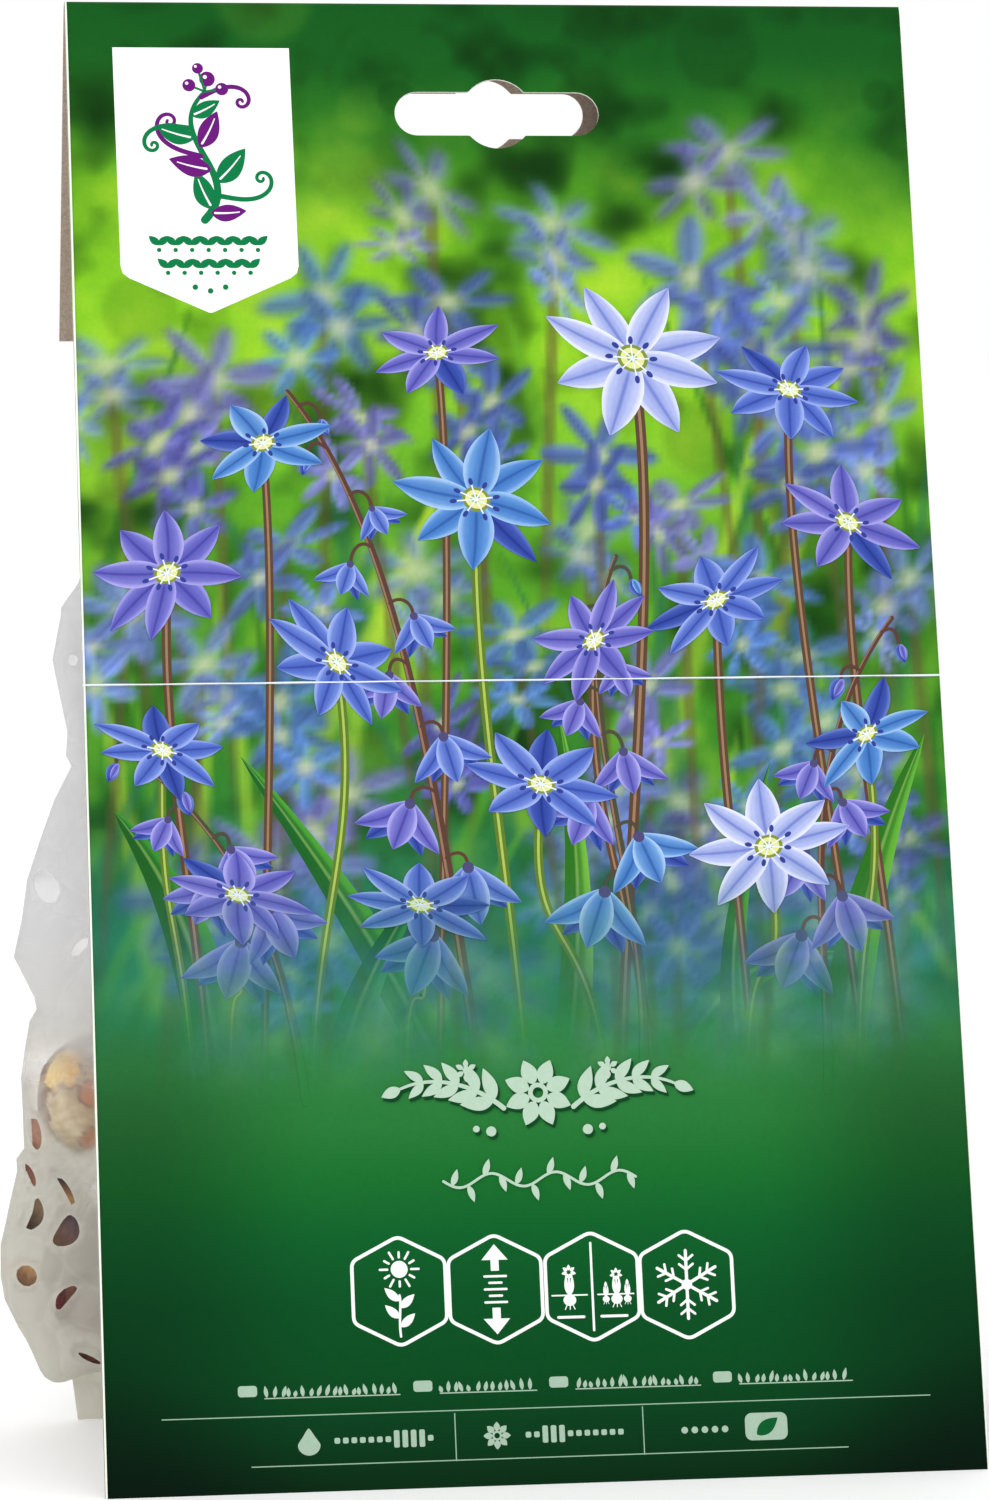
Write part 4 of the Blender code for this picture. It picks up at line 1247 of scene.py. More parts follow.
bag = {
    "film": 0.08, "strip": 0.35, "gap": 0.3, "cadFilm": 0.6, "flatHalf": 0.1,
    "bandLow": 163.0, "bandHigh": 190.0, "skirtTop": 8.0, "skirtBow": 8.0, "skirtReach": 65.0, "bowTop": 8.8,
    # the film's grid: columns across one wall, rows from height to height with their step, and the
    # step of the rows above them
    "columns": 118, "rowSpans": ((9.4, 16, 0.7), (16, 36, 0.85), (36, 43, 0.5), (43, 52, 0.85)),
    "rowStep": 1.25,
    # how square the bag's section is, and how far in from a side its notches reach
    "pillow": 6.0, "notchReach": 0.14,
    # outlines by height: the crumpled sides, the even sides behind them, the middle and the thickness
    "leftSide": (
        (0, -65.6), (8.0, -66.6), (8.8, -69.4), (9.6, -71.1), (12, -72.7), (15, -74.6), (19.8, -76.8),
        (23.6, -77.4), (28.4, -77.4), (35.2, -75.9), (39.8, -74.8), (41.6, -74.9), (43.2, -73.7),
        (54, -74.1), (58, -73.5), (62.4, -72.7), (64.2, -71.6), (66, -71.9), (72.1, -74.9), (77.6, -73.6),
        (83.5, -72.7), (89.4, -70.6), (95.4, -68.3), (100.4, -65.6), (102, -66.4), (105.5, -66.1),
        (114, -67.7), (116.3, -68.1), (122.8, -66.7), (124.1, -66.6), (127.8, -63.9), (131, -62.8),
        (150, -61.0), (163, -60.0), (190, -60.0)),
    "rightSide": (
        (0, 65.0), (8.0, 65.6), (8.8, 66.6), (10, 67.6), (14, 69.4), (22, 70.8), (38, 71.0), (47, 68.8),
        (60, 70.2), (74, 69.0), (88, 66.6), (96, 67.8), (112, 66.0), (128, 64.0), (150, 61.0), (163, 60.0),
        (190, 60.0)),
    "meanLeft": ((0, -65.6), (8, -67), (20, -75), (40, -75), (70, -73), (100, -69), (130, -66), (163, -60),
                 (190, -60)),
    "meanRight": ((0, 65.0), (8, 66), (20, 70), (40, 70), (70, 69), (100, 67), (130, 64), (163, 60),
                  (190, 60)),
    "middle": ((0, 51.0), (8, 51.0), (20, 48.0), (32, 46.5), (60, 47.5), (80, 50.5), (100, 55.0), (130, 63.0),
               (150, 69.5)),
    "fullness": (
        (8, 0.1), (8.8, 1.8), (10, 4.6), (12, 7.6), (16, 11.0), (22, 13.4), (30, 14.4), (42, 14.4),
        (58, 13.8), (76, 12.0), (98, 9.4), (120, 5.6), (140, 2.6), (155, 0.8), (163, 0.1)),
    # crumple: two sizes of flat facets, (spacing, height, seed)
    "facets": ((17.0, 3.0, 3), (7.5, 0.9, 8)),
    # how near a bulb must be for the film to cling to it, the film's clearance there, and how much of
    # the way one pull draws it
    "cling": 2.4, "clearance": 0.35, "pull": 0.8,
    # small pleats of the skirt: depth, width, and how far in from its ends they die away
    "pleatDepth": 1.1, "pleatWidth": 5.2, "pleatFade": 9.0,
    # the corner that hangs below the weld: how far, where, and how wide
    "cornerDip": 2.8, "cornerPlace": -69.0, "cornerWidth": 4.5,
    # the film looks clear within the first distance of a bulb and frosted past the second; the top
    # bulb, above the two heights in topRise, has a wider clear rim
    "touch": (0.45, 1.7), "topTouch": (2.0, 4.8), "topRise": (51.5, 55.5),
    # where a look past a vent meets the back wall: shares of the bag's depth to the right and down
    "sightRight": 0.045, "sightDown": 0.115,
    "ventRadius": 2.3, "ventPitch": 11.0, "ventLow": 15.0, "ventHigh": 152.0, "ventLeast": 0.95,
    # how far off their even rows vents may lie, the outermost ones, and in front the place from which
    # the folded ones take over
    "ventSeed": 4, "ventDrift": 0.8, "ventOutermost": 62, "ventFolded": -57,
    # vents pulled out of round by folds: (x, z, half width, half height, turn, bend)
    "foldedVents": (
        (-72.3, 46.2, 0.92, 2.5, 0.12, 0.0), (-73.0, 40.1, 0.46, 1.8, 0.40, 0.06),
        (-67.7, 38.0, 0.46, 2.6, 0.50, 0.05), (-72.2, 34.1, 0.85, 2.6, -0.31, 0.12),
        (-67.8, 31.9, 1.60, 2.6, -0.52, 0.10), (-73.8, 24.7, 1.50, 1.7, 0.0, 0.0),
        (-68.3, 21.7, 0.95, 2.4, -0.60, -0.10), (-64.2, 11.1, 2.0, 0.50, -0.5, 0.05),
        (-70.0, 83.0, 1.8, 2.35, 0.35, 0.0), (-65.5, 74.6, 0.7, 1.8, -0.75, 0.0),
        (-65.1, 116.4, 0.75, 0.85, 0.0, 0.0)),
}


def bandMiddle(z):
    # where the film's flat top hangs, in front of the flap's inner face and the adhesive
    start = foldCentre + flapOut * (card["foldRadius"] - card["board"])
    flap = start[0] + (start[1] - z) * tan(card["flapFlare"])
    return flap - bag["gap"] * 2 - bag["strip"] - bag["cadFilm"] / 2 - bag["flatHalf"]


def middlePlane(z):
    share = np.clip((z - 150) / (bag["bandLow"] - 150), 0, 1)
    return curve(bag["middle"], z) * (1 - share) + bandMiddle(z) * share


def facetField(x, z, spacing, seed):
    # random heights on a scatter of points, joined by flat triangles, so the folds between are straight
    draw = np.random.default_rng(seed)
    low = np.array([x.min() - spacing, z.min() - spacing])
    high = np.array([x.max() + spacing, z.max() + spacing])
    counts = np.ceil((high - low) / spacing).astype(int)
    lattice = np.meshgrid(np.arange(counts[0] + 1), np.arange(counts[1] + 1), indexing="ij")
    grid = np.stack(lattice, -1).reshape(-1, 2)
    spots = low + (grid + draw.uniform(-0.42, 0.42, grid.shape)) * spacing
    heights = draw.uniform(-1, 1, len(spots))
    found = delaunay_2d_cdt([Vector(p) for p in spots], [], [], 0, 1e-6)
    verts = np.array([tuple(p) for p in found[0]])
    value = np.zeros(len(x))
    for a, b, c in found[2]:
        corners = verts[[a, b, c]]
        box = (x >= corners[:, 0].min()) & (x <= corners[:, 0].max())
        box &= (z >= corners[:, 1].min()) & (z <= corners[:, 1].max())
        px, pz = x[box], z[box]
        (ax, az), (bx, bz), (cx, cz) = corners
        area = (bx - ax) * (cz - az) - (cx - ax) * (bz - az)
        wb = ((px - ax) * (cz - az) - (cx - ax) * (pz - az)) / area
        wc = ((bx - ax) * (pz - az) - (px - ax) * (bz - az)) / area
        hit = (wb >= -1e-9) & (wc >= -1e-9) & (wb + wc <= 1 + 1e-9)
        inside = np.flatnonzero(box)[hit]
        value[inside] = heights[a] * (1 - wb[hit] - wc[hit]) + heights[b] * wb[hit] + heights[c] * wc[hit]
    return value


def filmBase(ring, side, z):
    # across, a point stands between the two side lines, pulled in near a notch of the crumpled side;
    # deep, it stands half the fullness from the middle plane, less towards the sides like a pillow
    left, right = curve(bag["meanLeft"], z), curve(bag["meanRight"], z)
    x = left + (right - left) * (ring + 1) / 2
    x = x + (curve(bag["leftSide"], z) - left) * np.exp(-(ring + 1) / bag["notchReach"])
    x = x + (curve(bag["rightSide"], z) - right) * np.exp(-(1 - ring) / bag["notchReach"])
    pillow = np.sqrt(np.clip(1 - np.abs(ring) ** bag["pillow"], 0, 1))
    half = curve(bag["fullness"], z)
    bow = bag["skirtBow"] * np.clip(1 - (x / bag["skirtReach"]) ** 2, 0, 1)
    bow = bow * np.clip(1 - z / bag["bowTop"], 0, 1)
    return np.stack([x, middlePlane(z) + bow + side * half * pillow, z], -1), half


# a bulb's outline from the base plate to the dry neck, in body radii
bulbProfile = np.array(((-0.93, 0.0), (-0.93, 0.26), (-0.86, 0.42), (-0.62, 0.76), (-0.32, 0.95), (0.0, 1.0),
                        (0.32, 0.93), (0.60, 0.75), (0.84, 0.50), (1.02, 0.27), (1.20, 0.16), (1.38, 0.11),
                        (1.42, 0.0)))
bulbFoot, bulbTip = bulbProfile[0, 0], bulbProfile[-1, 0]


def readBulb(name):
    # a CAD bulb's base, axis and body radius, from the ends of its turned shape
    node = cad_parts[name]
    points = np.empty(len(node.data.vertices) * 3, np.float32)
    node.data.vertices.foreach_get("co", points)
    points = toCard(np.unique(points.reshape(-1, 3).astype(float).round(6), axis=0))
    far = points[np.linalg.norm(points - points.mean(axis=0), axis=1).argmax()] - points.mean(axis=0)
    for _ in range(4):
        along = points @ far / np.linalg.norm(far)
        ends = [points[along > along.max() - 0.35], points[along < along.min() + 0.35]]
        far = ends[0].mean(axis=0) - ends[1].mean(axis=0)
    # the neck's end is the narrower one
    ends.sort(key=lambda end: np.linalg.norm(end - end.mean(axis=0), axis=1).mean())
    tip, base = (end.mean(axis=0) for end in ends)
    height = np.linalg.norm(tip - base)
    whole = bulbTip - bulbFoot
    return base - (tip - base) * bulbFoot / whole, (tip - base) / height, height / whole


bulbNames = [f"bulb_{index + 1:02d}" for index in range(10)]
bulbPlaces = [readBulb(name) for name in bulbNames]


def bulbDistance(points, places=bulbPlaces):
    # mm from each point to the nearest bulb, measured off its axis against its outline
    nearest = np.full(len(points), 1e9)
    for centre, axis, radius in places:
        offset = points - centre
        along = offset @ axis
        off = np.linalg.norm(offset - along[:, None] * axis, axis=1)
        outline = curve(bulbProfile[1:-1], np.clip(along / radius, bulbFoot, bulbTip)) * radius
        past = np.maximum(np.maximum(along - bulbTip * radius, bulbFoot * radius - along), 0)
        near = np.hypot(np.maximum(off - outline, 0), past) + np.minimum(off - outline, 0) * (past == 0)
        body = np.linalg.norm(offset, axis=1) - radius
        nearest = np.minimum(nearest, np.minimum(np.where(near > 0, near * 0.9, near), body))
    return nearest


def makeFilm():
    # the tube's points on a grid of heights and places round it, moved out by the crumple and onto
    # the bulbs
    columns = bag["columns"]
    share = np.linspace(-1, 1, columns + 1)
    across = 0.6 * share + 0.4 * np.sin(pi / 2 * share)
    ring = np.concatenate([across, across[-2:0:-1]])
    side = np.concatenate([-np.ones(columns + 1), np.ones(columns - 1)])
    spans = (*bag["rowSpans"], (52, bag["bandHigh"] - 0.5, bag["rowStep"]))
    heights = np.concatenate([np.linspace(0, 8, 8), [8.4, 8.8], *(np.arange(*span) for span in spans),
                              [bag["bandHigh"]]])
    # each corner of the crumpled side has a row of its own
    for corner, _ in bag["leftSide"][5:-2]:
        heights[np.abs(heights - corner).argmin()] = corner
    z, ringGrid = np.meshgrid(heights, ring, indexing="ij")
    z, ringGrid = z.ravel(), ringGrid.ravel()
    sideGrid = np.tile(side, len(heights))
    base, half = filmBase(ringGrid, sideGrid, z)
    faces = gridFaces(len(heights), len(ring), wrap=True)
    normal = vertexNormals(base, faces)
    # the back wall's facets are read 200 mm farther on, so they aren't the front's
    unrolled = base[:, 0] + 200 * (sideGrid > 0)
    loose = np.clip(half / 6, 0, 1)
    crumple = sum(height * facetField(unrolled, z, spacing, seed) for spacing, height, seed in bag["facets"])
    rim = smooth(0.0, 0.10, 1 - np.abs(ringGrid))
    points = base + normal * (crumple * loose * rim)[:, None]
    # the film stays off the bulbs, and where one lies close it is drawn onto it, in a pull that
    # spreads over its neighbours
    for spread in (4, 2, 0):
        distance = bulbDistance(points)
        pull = np.clip(distance - bag["clearance"], -6, 6)
        pull = pull * (1 - smooth(bag["cling"] * 0.4, bag["cling"], distance))
        grid = (pull * loose * rim).reshape(len(heights), -1)
        for _ in range(spread):
            padded = np.pad(grid, ((1, 1), (0, 0)), mode="edge")
            grid = (padded[:-2] + padded[2:] + np.roll(grid, 1, 1) + np.roll(grid, -1, 1) + grid) / 5
        points = points - normal * grid.ravel()[:, None] * bag["pull"]
    # the bag's foot hangs below the weld at its left corner
    low = (1 - smooth(8.8, 15.0, z)) * smooth(8.2, 8.9, z)
    aside = (base[:, 0] - bag["cornerPlace"]) / bag["cornerWidth"]
    points[:, 2] -= bag["cornerDip"] * low * np.exp(-aside ** 2)
    # the skirt's two layers stand in small pleats near its ends
    skirt = 1 - smooth(bag["skirtTop"] - 2, bag["skirtTop"] + 0.5, z)
    pleat = np.abs(((base[:, 0] / bag["pleatWidth"] + 0.35) % 2) - 1)
    inward = bag["skirtReach"] - np.abs(base[:, 0])
    points[:, 1] += skirt * bag["pleatDepth"] * pleat * np.exp(-inward / bag["pleatFade"])
    # crumpled film turns whiter along its folds: how far each point stands off its neighbours' mean
    raised = (crumple * loose * rim).reshape(len(heights), -1)
    padded = np.pad(raised, ((2, 2), (0, 0)), mode="edge")
    bend = raised - (padded[:-4] + padded[4:] + np.roll(raised, 2, 1) + np.roll(raised, -2, 1)) / 4
    return points, faces, len(heights), bend.ravel()


def foldedVent(x, z, place):
    # distance outside an ellipse that may be turned and bent like a bean
    cx, cz, wide, tall, turn, bend = place
    a, b = turned(x - cx, z - cz, -turn)
    a = a + bend * b ** 2
    reach = np.hypot(a / wide, b / tall)
    return (reach - 1) * reach / (np.hypot(a / wide ** 2, b / tall ** 2) + 1e-9)


def ventLevel(points, columns):
    # rows of round vents punched through both walls, every second row half a pitch over
    level = np.full(len(points), 9.0)
    front = np.arange(len(points)) % (2 * columns) <= columns
    pitch = bag["ventPitch"]
    drift, outermost = bag["ventDrift"], bag["ventOutermost"]
    draw = np.random.default_rng(bag["ventSeed"])
    for wall in (front, ~front):
        local = points[wall]
        found = level[wall]
        for row in range(int(bag["ventLow"] / pitch) + 1, int(bag["ventHigh"] / pitch) + 1):
            for column in range(-7, 8):
                x = column * pitch + (row % 2) * pitch / 2 + draw.uniform(-drift, drift)
                z = row * pitch + draw.uniform(-drift, drift)
                if abs(x) > outermost or z < bag["ventLow"] or (x < bag["ventFolded"] and wall is front):
                    continue
                spot = local[np.hypot(local[:, 0] - x, local[:, 2] - z).argmin()]
                found = np.minimum(found, np.linalg.norm(local - spot, axis=1) - bag["ventRadius"])
        if wall is front:
            # a slit narrower than the grid is cut wide here, and ontoVents draws its edges in
            for cx, cz, wide, tall, *form in bag["foldedVents"]:
                place = (cx, cz, max(wide, bag["ventLeast"]), max(tall, bag["ventLeast"]), *form)
                found = np.minimum(found, foldedVent(local[:, 0], local[:, 2], place))
        level[wall] = found
    return level


def ontoVents(points, faces, first):
    # the cut points, those from first on, slide along the film onto the nearest folded vent's own outline
    def level(x, z):
        return np.min([foldedVent(x, z, place) for place in bag["foldedVents"]], axis=0)

    normal = vertexNormals(points, faces)[first:]
    moved = points[first:].copy()
    for _ in range(2):
        x, _, z = moved.T
        free = (np.abs(level(x, z)) < 1.2) & (points[first:, 1] < middlePlane(z)) & (normal[:, 1] < -0.25)
        dx, dz = (step * free for step in ontoOutline(x, z, level))
        dy = -(normal[:, 0] * dx + normal[:, 2] * dz) / np.minimum(normal[:, 1], -0.25)
        moved += np.stack([dx, dy, dz], -1)
    return np.concatenate([points[:first], moved])


def filmMaterial():
    # frosted low-density polyethylene: thin, milky, lets light through and blurs what lies behind,
    # clearer where it clings to a bulb, whiter along its folds, with soft broad highlights
    material, tree, shader = newMaterial("frostedPolyethyleneFilm")
    touch = addNode(tree, "ShaderNodeAttribute", attribute_name="touch")
    crease = addNode(tree, "ShaderNodeAttribute", attribute_name="crease")
    place = addNode(tree, "ShaderNodeTexCoord")
    cloud = addNoise(tree, place, 160.0, 3.0)
    # crinkle lines about 2 mm wide between uneven facets of about 13 mm
    warp = addNoise(tree, place, 45.0, 1.0)
    bent = addNode(tree, "ShaderNodeVectorMath", {1: (0.022, 0.022, 0.022)},
                   {0: warp.outputs["Color"], 2: place.outputs["Object"]}, operation="MULTIPLY_ADD")
    crinkle = addNode(tree, "ShaderNodeTexVoronoi", {"Scale": 78.0}, {"Vector": bent.outputs[0]},
                      feature="DISTANCE_TO_EDGE").outputs["Distance"]
    line = addRange(tree, crinkle, 0.0, 0.09, 0.11, 0.0)
    ridge = addRange(tree, crinkle, 0.0, 0.22)
    # how much of what lies behind the film hides: less on a bulb, more in clouds, lines and folds
    cover = addRange(tree, touch.outputs["Fac"], 0.0, 1.0, 0.56, 0.12)
    for source, weight in ((cloud.outputs["Fac"], 0.10), (line, 1.0), (crease.outputs["Fac"], 0.16)):
        cover = addNode(tree, "ShaderNodeMath", {1: weight}, {0: source, 2: cover},
                        operation="MULTIPLY_ADD").outputs[0]
    # painted warm cast: the film is tinted a little warmer up to about 6 cm, standing in for the bulbs'
    # colour seen through it
    split = addNode(tree, "ShaderNodeSeparateXYZ", links={"Vector": place.outputs["Object"]})
    paintedWarmCast = addRange(tree, split.outputs["Z"], 0.045, 0.075)
    tint = addRamp(tree, paintedWarmCast, [(0.0, linear("#e9e8df")), (1.0, linear("#ebebec"))])
    scatter = addNode(tree, "ShaderNodeBsdfTranslucent", links={"Color": tint})
    through = addNode(tree, "ShaderNodeBsdfTransparent", {"Color": (1, 1, 1, 1)})
    # the frosting's grain, about 0.5 mm
    frost = addNoise(tree, place, 2000.0)
    grain = addNode(tree, "ShaderNodeBump", {"Strength": 0.1, "Distance": 0.00005},
                    {"Height": frost.outputs["Fac"]})
    bump = addNode(tree, "ShaderNodeBump", {"Strength": 0.6, "Distance": 0.0005},
                   {"Height": ridge, "Normal": grain.outputs["Normal"]})
    tree.links.new(tint, shader.inputs["Base Color"])
    shader.inputs["Roughness"].default_value = 0.48
    tree.links.new(bump.outputs["Normal"], shader.inputs["Normal"])
    body = addNode(tree, "ShaderNodeMixShader", {"Fac": 0.5},
                   {1: shader.outputs["BSDF"], 2: scatter.outputs["BSDF"]})
    whole = addNode(tree, "ShaderNodeMixShader", {},
                    {"Fac": cover, 1: through.outputs["BSDF"], 2: body.outputs["Shader"]})
    tree.links.new(whole.outputs["Shader"], tree.nodes["Material Output"].inputs["Surface"])
    return material


def makeBag():
    points, faces, rows, bend = makeFilm()
    columns = bag["columns"]
    count = 2 * columns
    # the skirt's foot and the band's top are closed across
    front = np.arange(columns + 1)
    back = (count - front) % count
    caps = []
    for start, upward in ((0, False), ((rows - 1) * count, True)):
        a, b = start + front[:-1], start + front[1:]
        c, d = start + back[1:], start + back[:-1]
        cap = np.concatenate([np.stack([a, b, c], -1), np.stack([a, c, d], -1)])
        caps.append(cap if upward else cap[:, ::-1])
    # the fold measure and the way to the nearest vent ride along as columns while the vents are cut
    wall = points[np.arange(len(points)) % count <= columns]
    level = ventLevel(points, columns)
    whole = len(points)
    points, faces = clipFaces(np.column_stack([points, bend, level]), faces, level)
    points[:, :3] = ontoVents(points[:, :3], faces, whole)
    faces = np.concatenate([faces] + caps)
    good = (faces != np.roll(faces, 1, axis=1)).all(axis=1)
    faces, points = usedOnly(faces[good], points)
    points, bend, level = points[:, :3], points[:, 3], points[:, 4]
    bottom = points - vertexNormals(points, faces) * bag["film"]
    points, faces = slab(points, bottom, faces)
    points[:, 2] = np.maximum(points[:, 2], 0)
    # 1 where the film lies on a bulb, fading out within a few millimetres, and farther round the top one
    touch = 1 - smooth(*bag["touch"], bulbDistance(points, bulbPlaces[1:]))
    above = smooth(*bag["topRise"], points[:, 2])
    touch = np.maximum(touch, above * (1 - smooth(*bag["topTouch"], bulbDistance(points, bulbPlaces[9:]))))
    # the back wall is worn thin behind the upper vents, seen past them from ahead and above
    for cx, cz, *form in bag["foldedVents"][8:]:
        back = 2 * curve(bag["fullness"], cz) + 1
        seen = (cx + bag["sightRight"] * back, cz - bag["sightDown"] * back, *form)
        near = 1 - smooth(0.2, 1.7, foldedVent(points[:, 0], points[:, 2], seen))
        touch = np.maximum(touch, 0.5 * near * (points[:, 1] > middlePlane(points[:, 2])))
    # whiter along folds, and round each vent, where the hot punch has thickened the film's rim
    crease = np.tile(np.maximum(smooth(0.05, 0.35, np.abs(bend)), 1.6 * (1 - smooth(0.1, 0.8, level))), 2)
    film = addPiece("filmBag", toWorld(points), faces, filmMaterial(), {"touch": touch, "crease": crease},
                    sharp=60)
    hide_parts("bag")
    return wall


frontWall = makeBag()
print("bag done")

# ---- bulbs ----

bulb = {
    "around": 96, "along": 72, "seed": 21, "roots": 14,
    # shares of the radius: ribs (how many, how deep), dents (broad, fine), the bare scale's dip, the
    # folds of the neck; and the tunic's size beside the solid bulb's
    "ribs": ((9, 0.008), (17, 0.006)), "dents": (0.03, 0.015), "dip": 0.03, "neckFold": 0.22, "size": 0.98,
    "skin": ("#3d1518", "#80432c", "#ab7754"), "sheen": "#5c3f55",
    "rim": "#43180f", "scale": ("#e3a62c", "#ffe084"), "peeled": ("#b0946a", "#e6d4ae"),
    "amber": ("#b5641c", "#e09a40"), "husk": ("#4a2413", "#7c4a2a"),
    # torn places: (bulb number, direction from its middle, radius in body radii, what shows there)
    "torn": (
        (9, (-0.25, -0.93, -0.28), 0.95, "peeled"), (9, (-0.55, -0.10, 0.82), 0.55, "husk"),
        (9, (-0.72, -0.46, 0.52), 0.40, "scale"), (9, (-0.20, -0.95, 0.20), 0.17, "amber"),
        (9, (-0.16, -0.80, -0.57), 0.21, "amber"), (0, (-0.3, 0.9, 0.2), 0.6, "scale"),
        (1, (0.2, -0.9, 0.3), 0.5, "scale"), (2, (0.3, 0.9, 0.1), 0.65, "peeled"),
        (3, (-0.4, 0.8, -0.3), 0.35, "scale"), (4, (0.5, -0.8, 0.2), 0.6, "peeled"),
        (5, (0.6, 0.7, 0.3), 0.55, "scale"), (6, (-0.7, -0.5, 0.5), 0.35, "scale"),
        (7, (0.1, 0.9, 0.4), 0.45, "scale"), (8, (0.3, -0.8, 0.6), 0.5, "scale")),
}


def tunicMaterial():
    # dry papery tunic: brown-violet, ribbed along, split to show the waxy yellow scale under it,
    # with skin fibres about 0.8 mm apart
    material, tree, shader = newMaterial("paperyBulbTunic")
    grainyColor(tree, shader, "skin", 1200.0, 3.0, 0.12, 0.25, 0.0001)
    shader.inputs["Roughness"].default_value = 0.45
    return material


tunicFinish = tunicMaterial()


def bulbFrame(axis):
    helper = np.array([0.0, 0.0, 1.0]) if abs(axis[2]) < 0.9 else np.array([1.0, 0.0, 0.0])
    first = unit(np.cross(axis, helper))
    return first, np.cross(axis, first)


def rootStubs(centre, axis, first, second, radius, tone, draw):
    # dry stubs round the base plate: small bent cones, each closed by a point at both ends
    stubs = []
    angle = np.arange(6) * pi / 3
    ring, after = np.arange(6), (np.arange(6) + 1) % 6
    faces = np.concatenate([gridFaces(3, 6, wrap=True), fanFaces(18, after, ring),
                            fanFaces(19, 12 + ring, 12 + after)])
    for index in range(bulb["roots"]):
        turn = index * 2 * pi / bulb["roots"] + draw.uniform(-0.15, 0.15)
        out = first * cos(turn) + second * sin(turn)
        start = centre + radius * (-0.90 * axis + 0.22 * out)
        way = unit(-axis * 0.35 + out * draw.uniform(0.2, 0.8) * 0.6)
        side, other = bulbFrame(way)
        length = radius * draw.uniform(0.05, 0.09)
        rim = side * np.cos(angle)[:, None] + other * np.sin(angle)[:, None]
        rings = [start + way * length * share + rim * 0.022 * radius * (1 - 0.6 * share)
                 for share in (0.0, 0.5, 1.0)]
        ends = [start - way * 0.02 * radius, start + way * length * 1.15]
        points = np.concatenate([*rings, ends])
        stubs.append((points, faces, np.broadcast_to(tone, points.shape)))
    return joined(stubs)


def tornShare(way, direction, size, ragged):
    # 1 inside a torn place, 0 outside, with a ragged edge
    away = np.linalg.norm(way - unit(np.array(direction)) * 0.97, axis=-1)
    return 1 - smooth(-0.04, 0.04, away - size + ragged * min(1, size * 1.6))


def mixed(color, over, share):
    # a mix of colours on a grid of points, by shares that may pass 1
    return color + (over - color) * share[..., None]


def makeBulb(number, name, place):
    centre, axis, radius = place
    draw = np.random.default_rng(bulb["seed"] + number)
    # the outline is read off at even steps along its length
    length = np.concatenate([[0], np.cumsum(np.hypot(*np.diff(bulbProfile, axis=0).T))])
    steps = np.linspace(0, length[-1], bulb["along"] + 1)
    height, width = (np.interp(steps, length, bulbProfile[:, k]) for k in range(2))
    first, second = bulbFrame(axis)
    count = bulb["around"]
    h, angle = np.meshgrid(height[1:-1], np.arange(count) * 2 * pi / count, indexing="ij")
    w = np.broadcast_to(width[1:-1, None], h.shape)
    flat = first * np.cos(angle)[..., None] + second * np.sin(angle)[..., None]
    way = axis * h[..., None] + flat * w[..., None]
    # clouds without a seam: noise read on two flat projections of the body
    a, b, c = np.stack([first, second, axis]) @ way.reshape(-1, 3).T * 10

    def noise(stretch, scale, seed):
        over = cloudValue(a, c * stretch, scale, number + seed)
        across = cloudValue(b + 50, c * stretch, scale, number + seed + 30)
        return 0.5 * (over + across).reshape(h.shape) - 0.5

    cloud, fine = noise(1, 4.0, 30), noise(0.3, 1.1, 90)
    phase = draw.uniform(0, 6, 4)
    (few, high), (many, low) = bulb["ribs"]
    ribs = high * np.sin(angle * few + phase[0] + 0.8 * h) + low * np.sin(angle * many + phase[1] - 0.5 * h)
    dents = bulb["dents"][0] * cloud + bulb["dents"][1] * fine
    torn = [(kind, tornShare(way, direction, size, 0.9 * cloud + 0.5 * fine))
            for owner, direction, size, kind in bulb["torn"] if owner == number]
    bare = np.max([np.zeros(h.shape)] + [share for _, share in torn], axis=0)
    tip = smooth(1.0, 1.35, h)
    folds = bulb["neckFold"] * tip * np.sin(angle * 3 + phase[2]) ** 2
    w = w * (1 + ribs + dents - bulb["dip"] * bare - folds) * bulb["size"]
    bent = h - 0.05 * tip * np.cos(angle * 2 + phase[3]) ** 2
    points = centre + radius * (axis * bent[..., None] + flat * w[..., None])
    ends = [centre + radius * axis * -0.92, centre + radius * axis * 1.36]
    rows = len(h)
    ring, after = np.arange(count), (np.arange(count) + 1) % count
    top = (rows - 1) * count
    faces = np.concatenate([gridFaces(rows, count, wrap=True), fanFaces(rows * count, after, ring),
                            fanFaces(rows * count + 1, top + ring, top + after)])
    dark, mid, pale = (srgb(tone) for tone in bulb["skin"])
    stripe = smooth(0.3, 0.7, 0.5 + 0.5 * np.sin(angle * 29 + 18 * (cloud + 0.5)) * 0.5 + fine)
    color = mixed(dark, mid, 0.15 + 0.5 * stripe + 0.9 * (cloud + 0.1))
    color = mixed(color, srgb(bulb["sheen"]), 0.55 * smooth(-0.05, 0.15, fine))
    color = mixed(color, pale, 0.6 * smooth(-0.45, -0.9, h) + 0.4 * smooth(0.8, 1.3, h))
    ribbing = 0.42 + 0.05 * np.sin(angle * 31 + 5 * (fine + 0.5)) + 0.9 * cloud + 0.6 * fine
    ribbing = smooth(0.25, 0.75, ribbing)
    for kind, share in torn:
        low, high = (srgb(tone) for tone in bulb[kind])
        color = mixed(color, mixed(low, high, ribbing), share)
        color = mixed(color, srgb(bulb["rim"]), 2.8 * share * (1 - share))
    body = (np.concatenate([points.reshape(-1, 3), ends]), faces,
            np.concatenate([color.reshape(-1, 3), [pale, pale * 0.8]]))
    points, faces, color = joined([body, rootStubs(centre, axis, first, second, radius, pale * 0.9, draw)])
    made = addPiece(name.replace("bulb_", "tunicBulb"), toWorld(points), faces, tunicFinish,
                    {"skin": toLinear(color)})
    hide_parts(name)


for number, name in enumerate(bulbNames):
    makeBulb(number, name, bulbPlaces[number])
print("bulbs done")

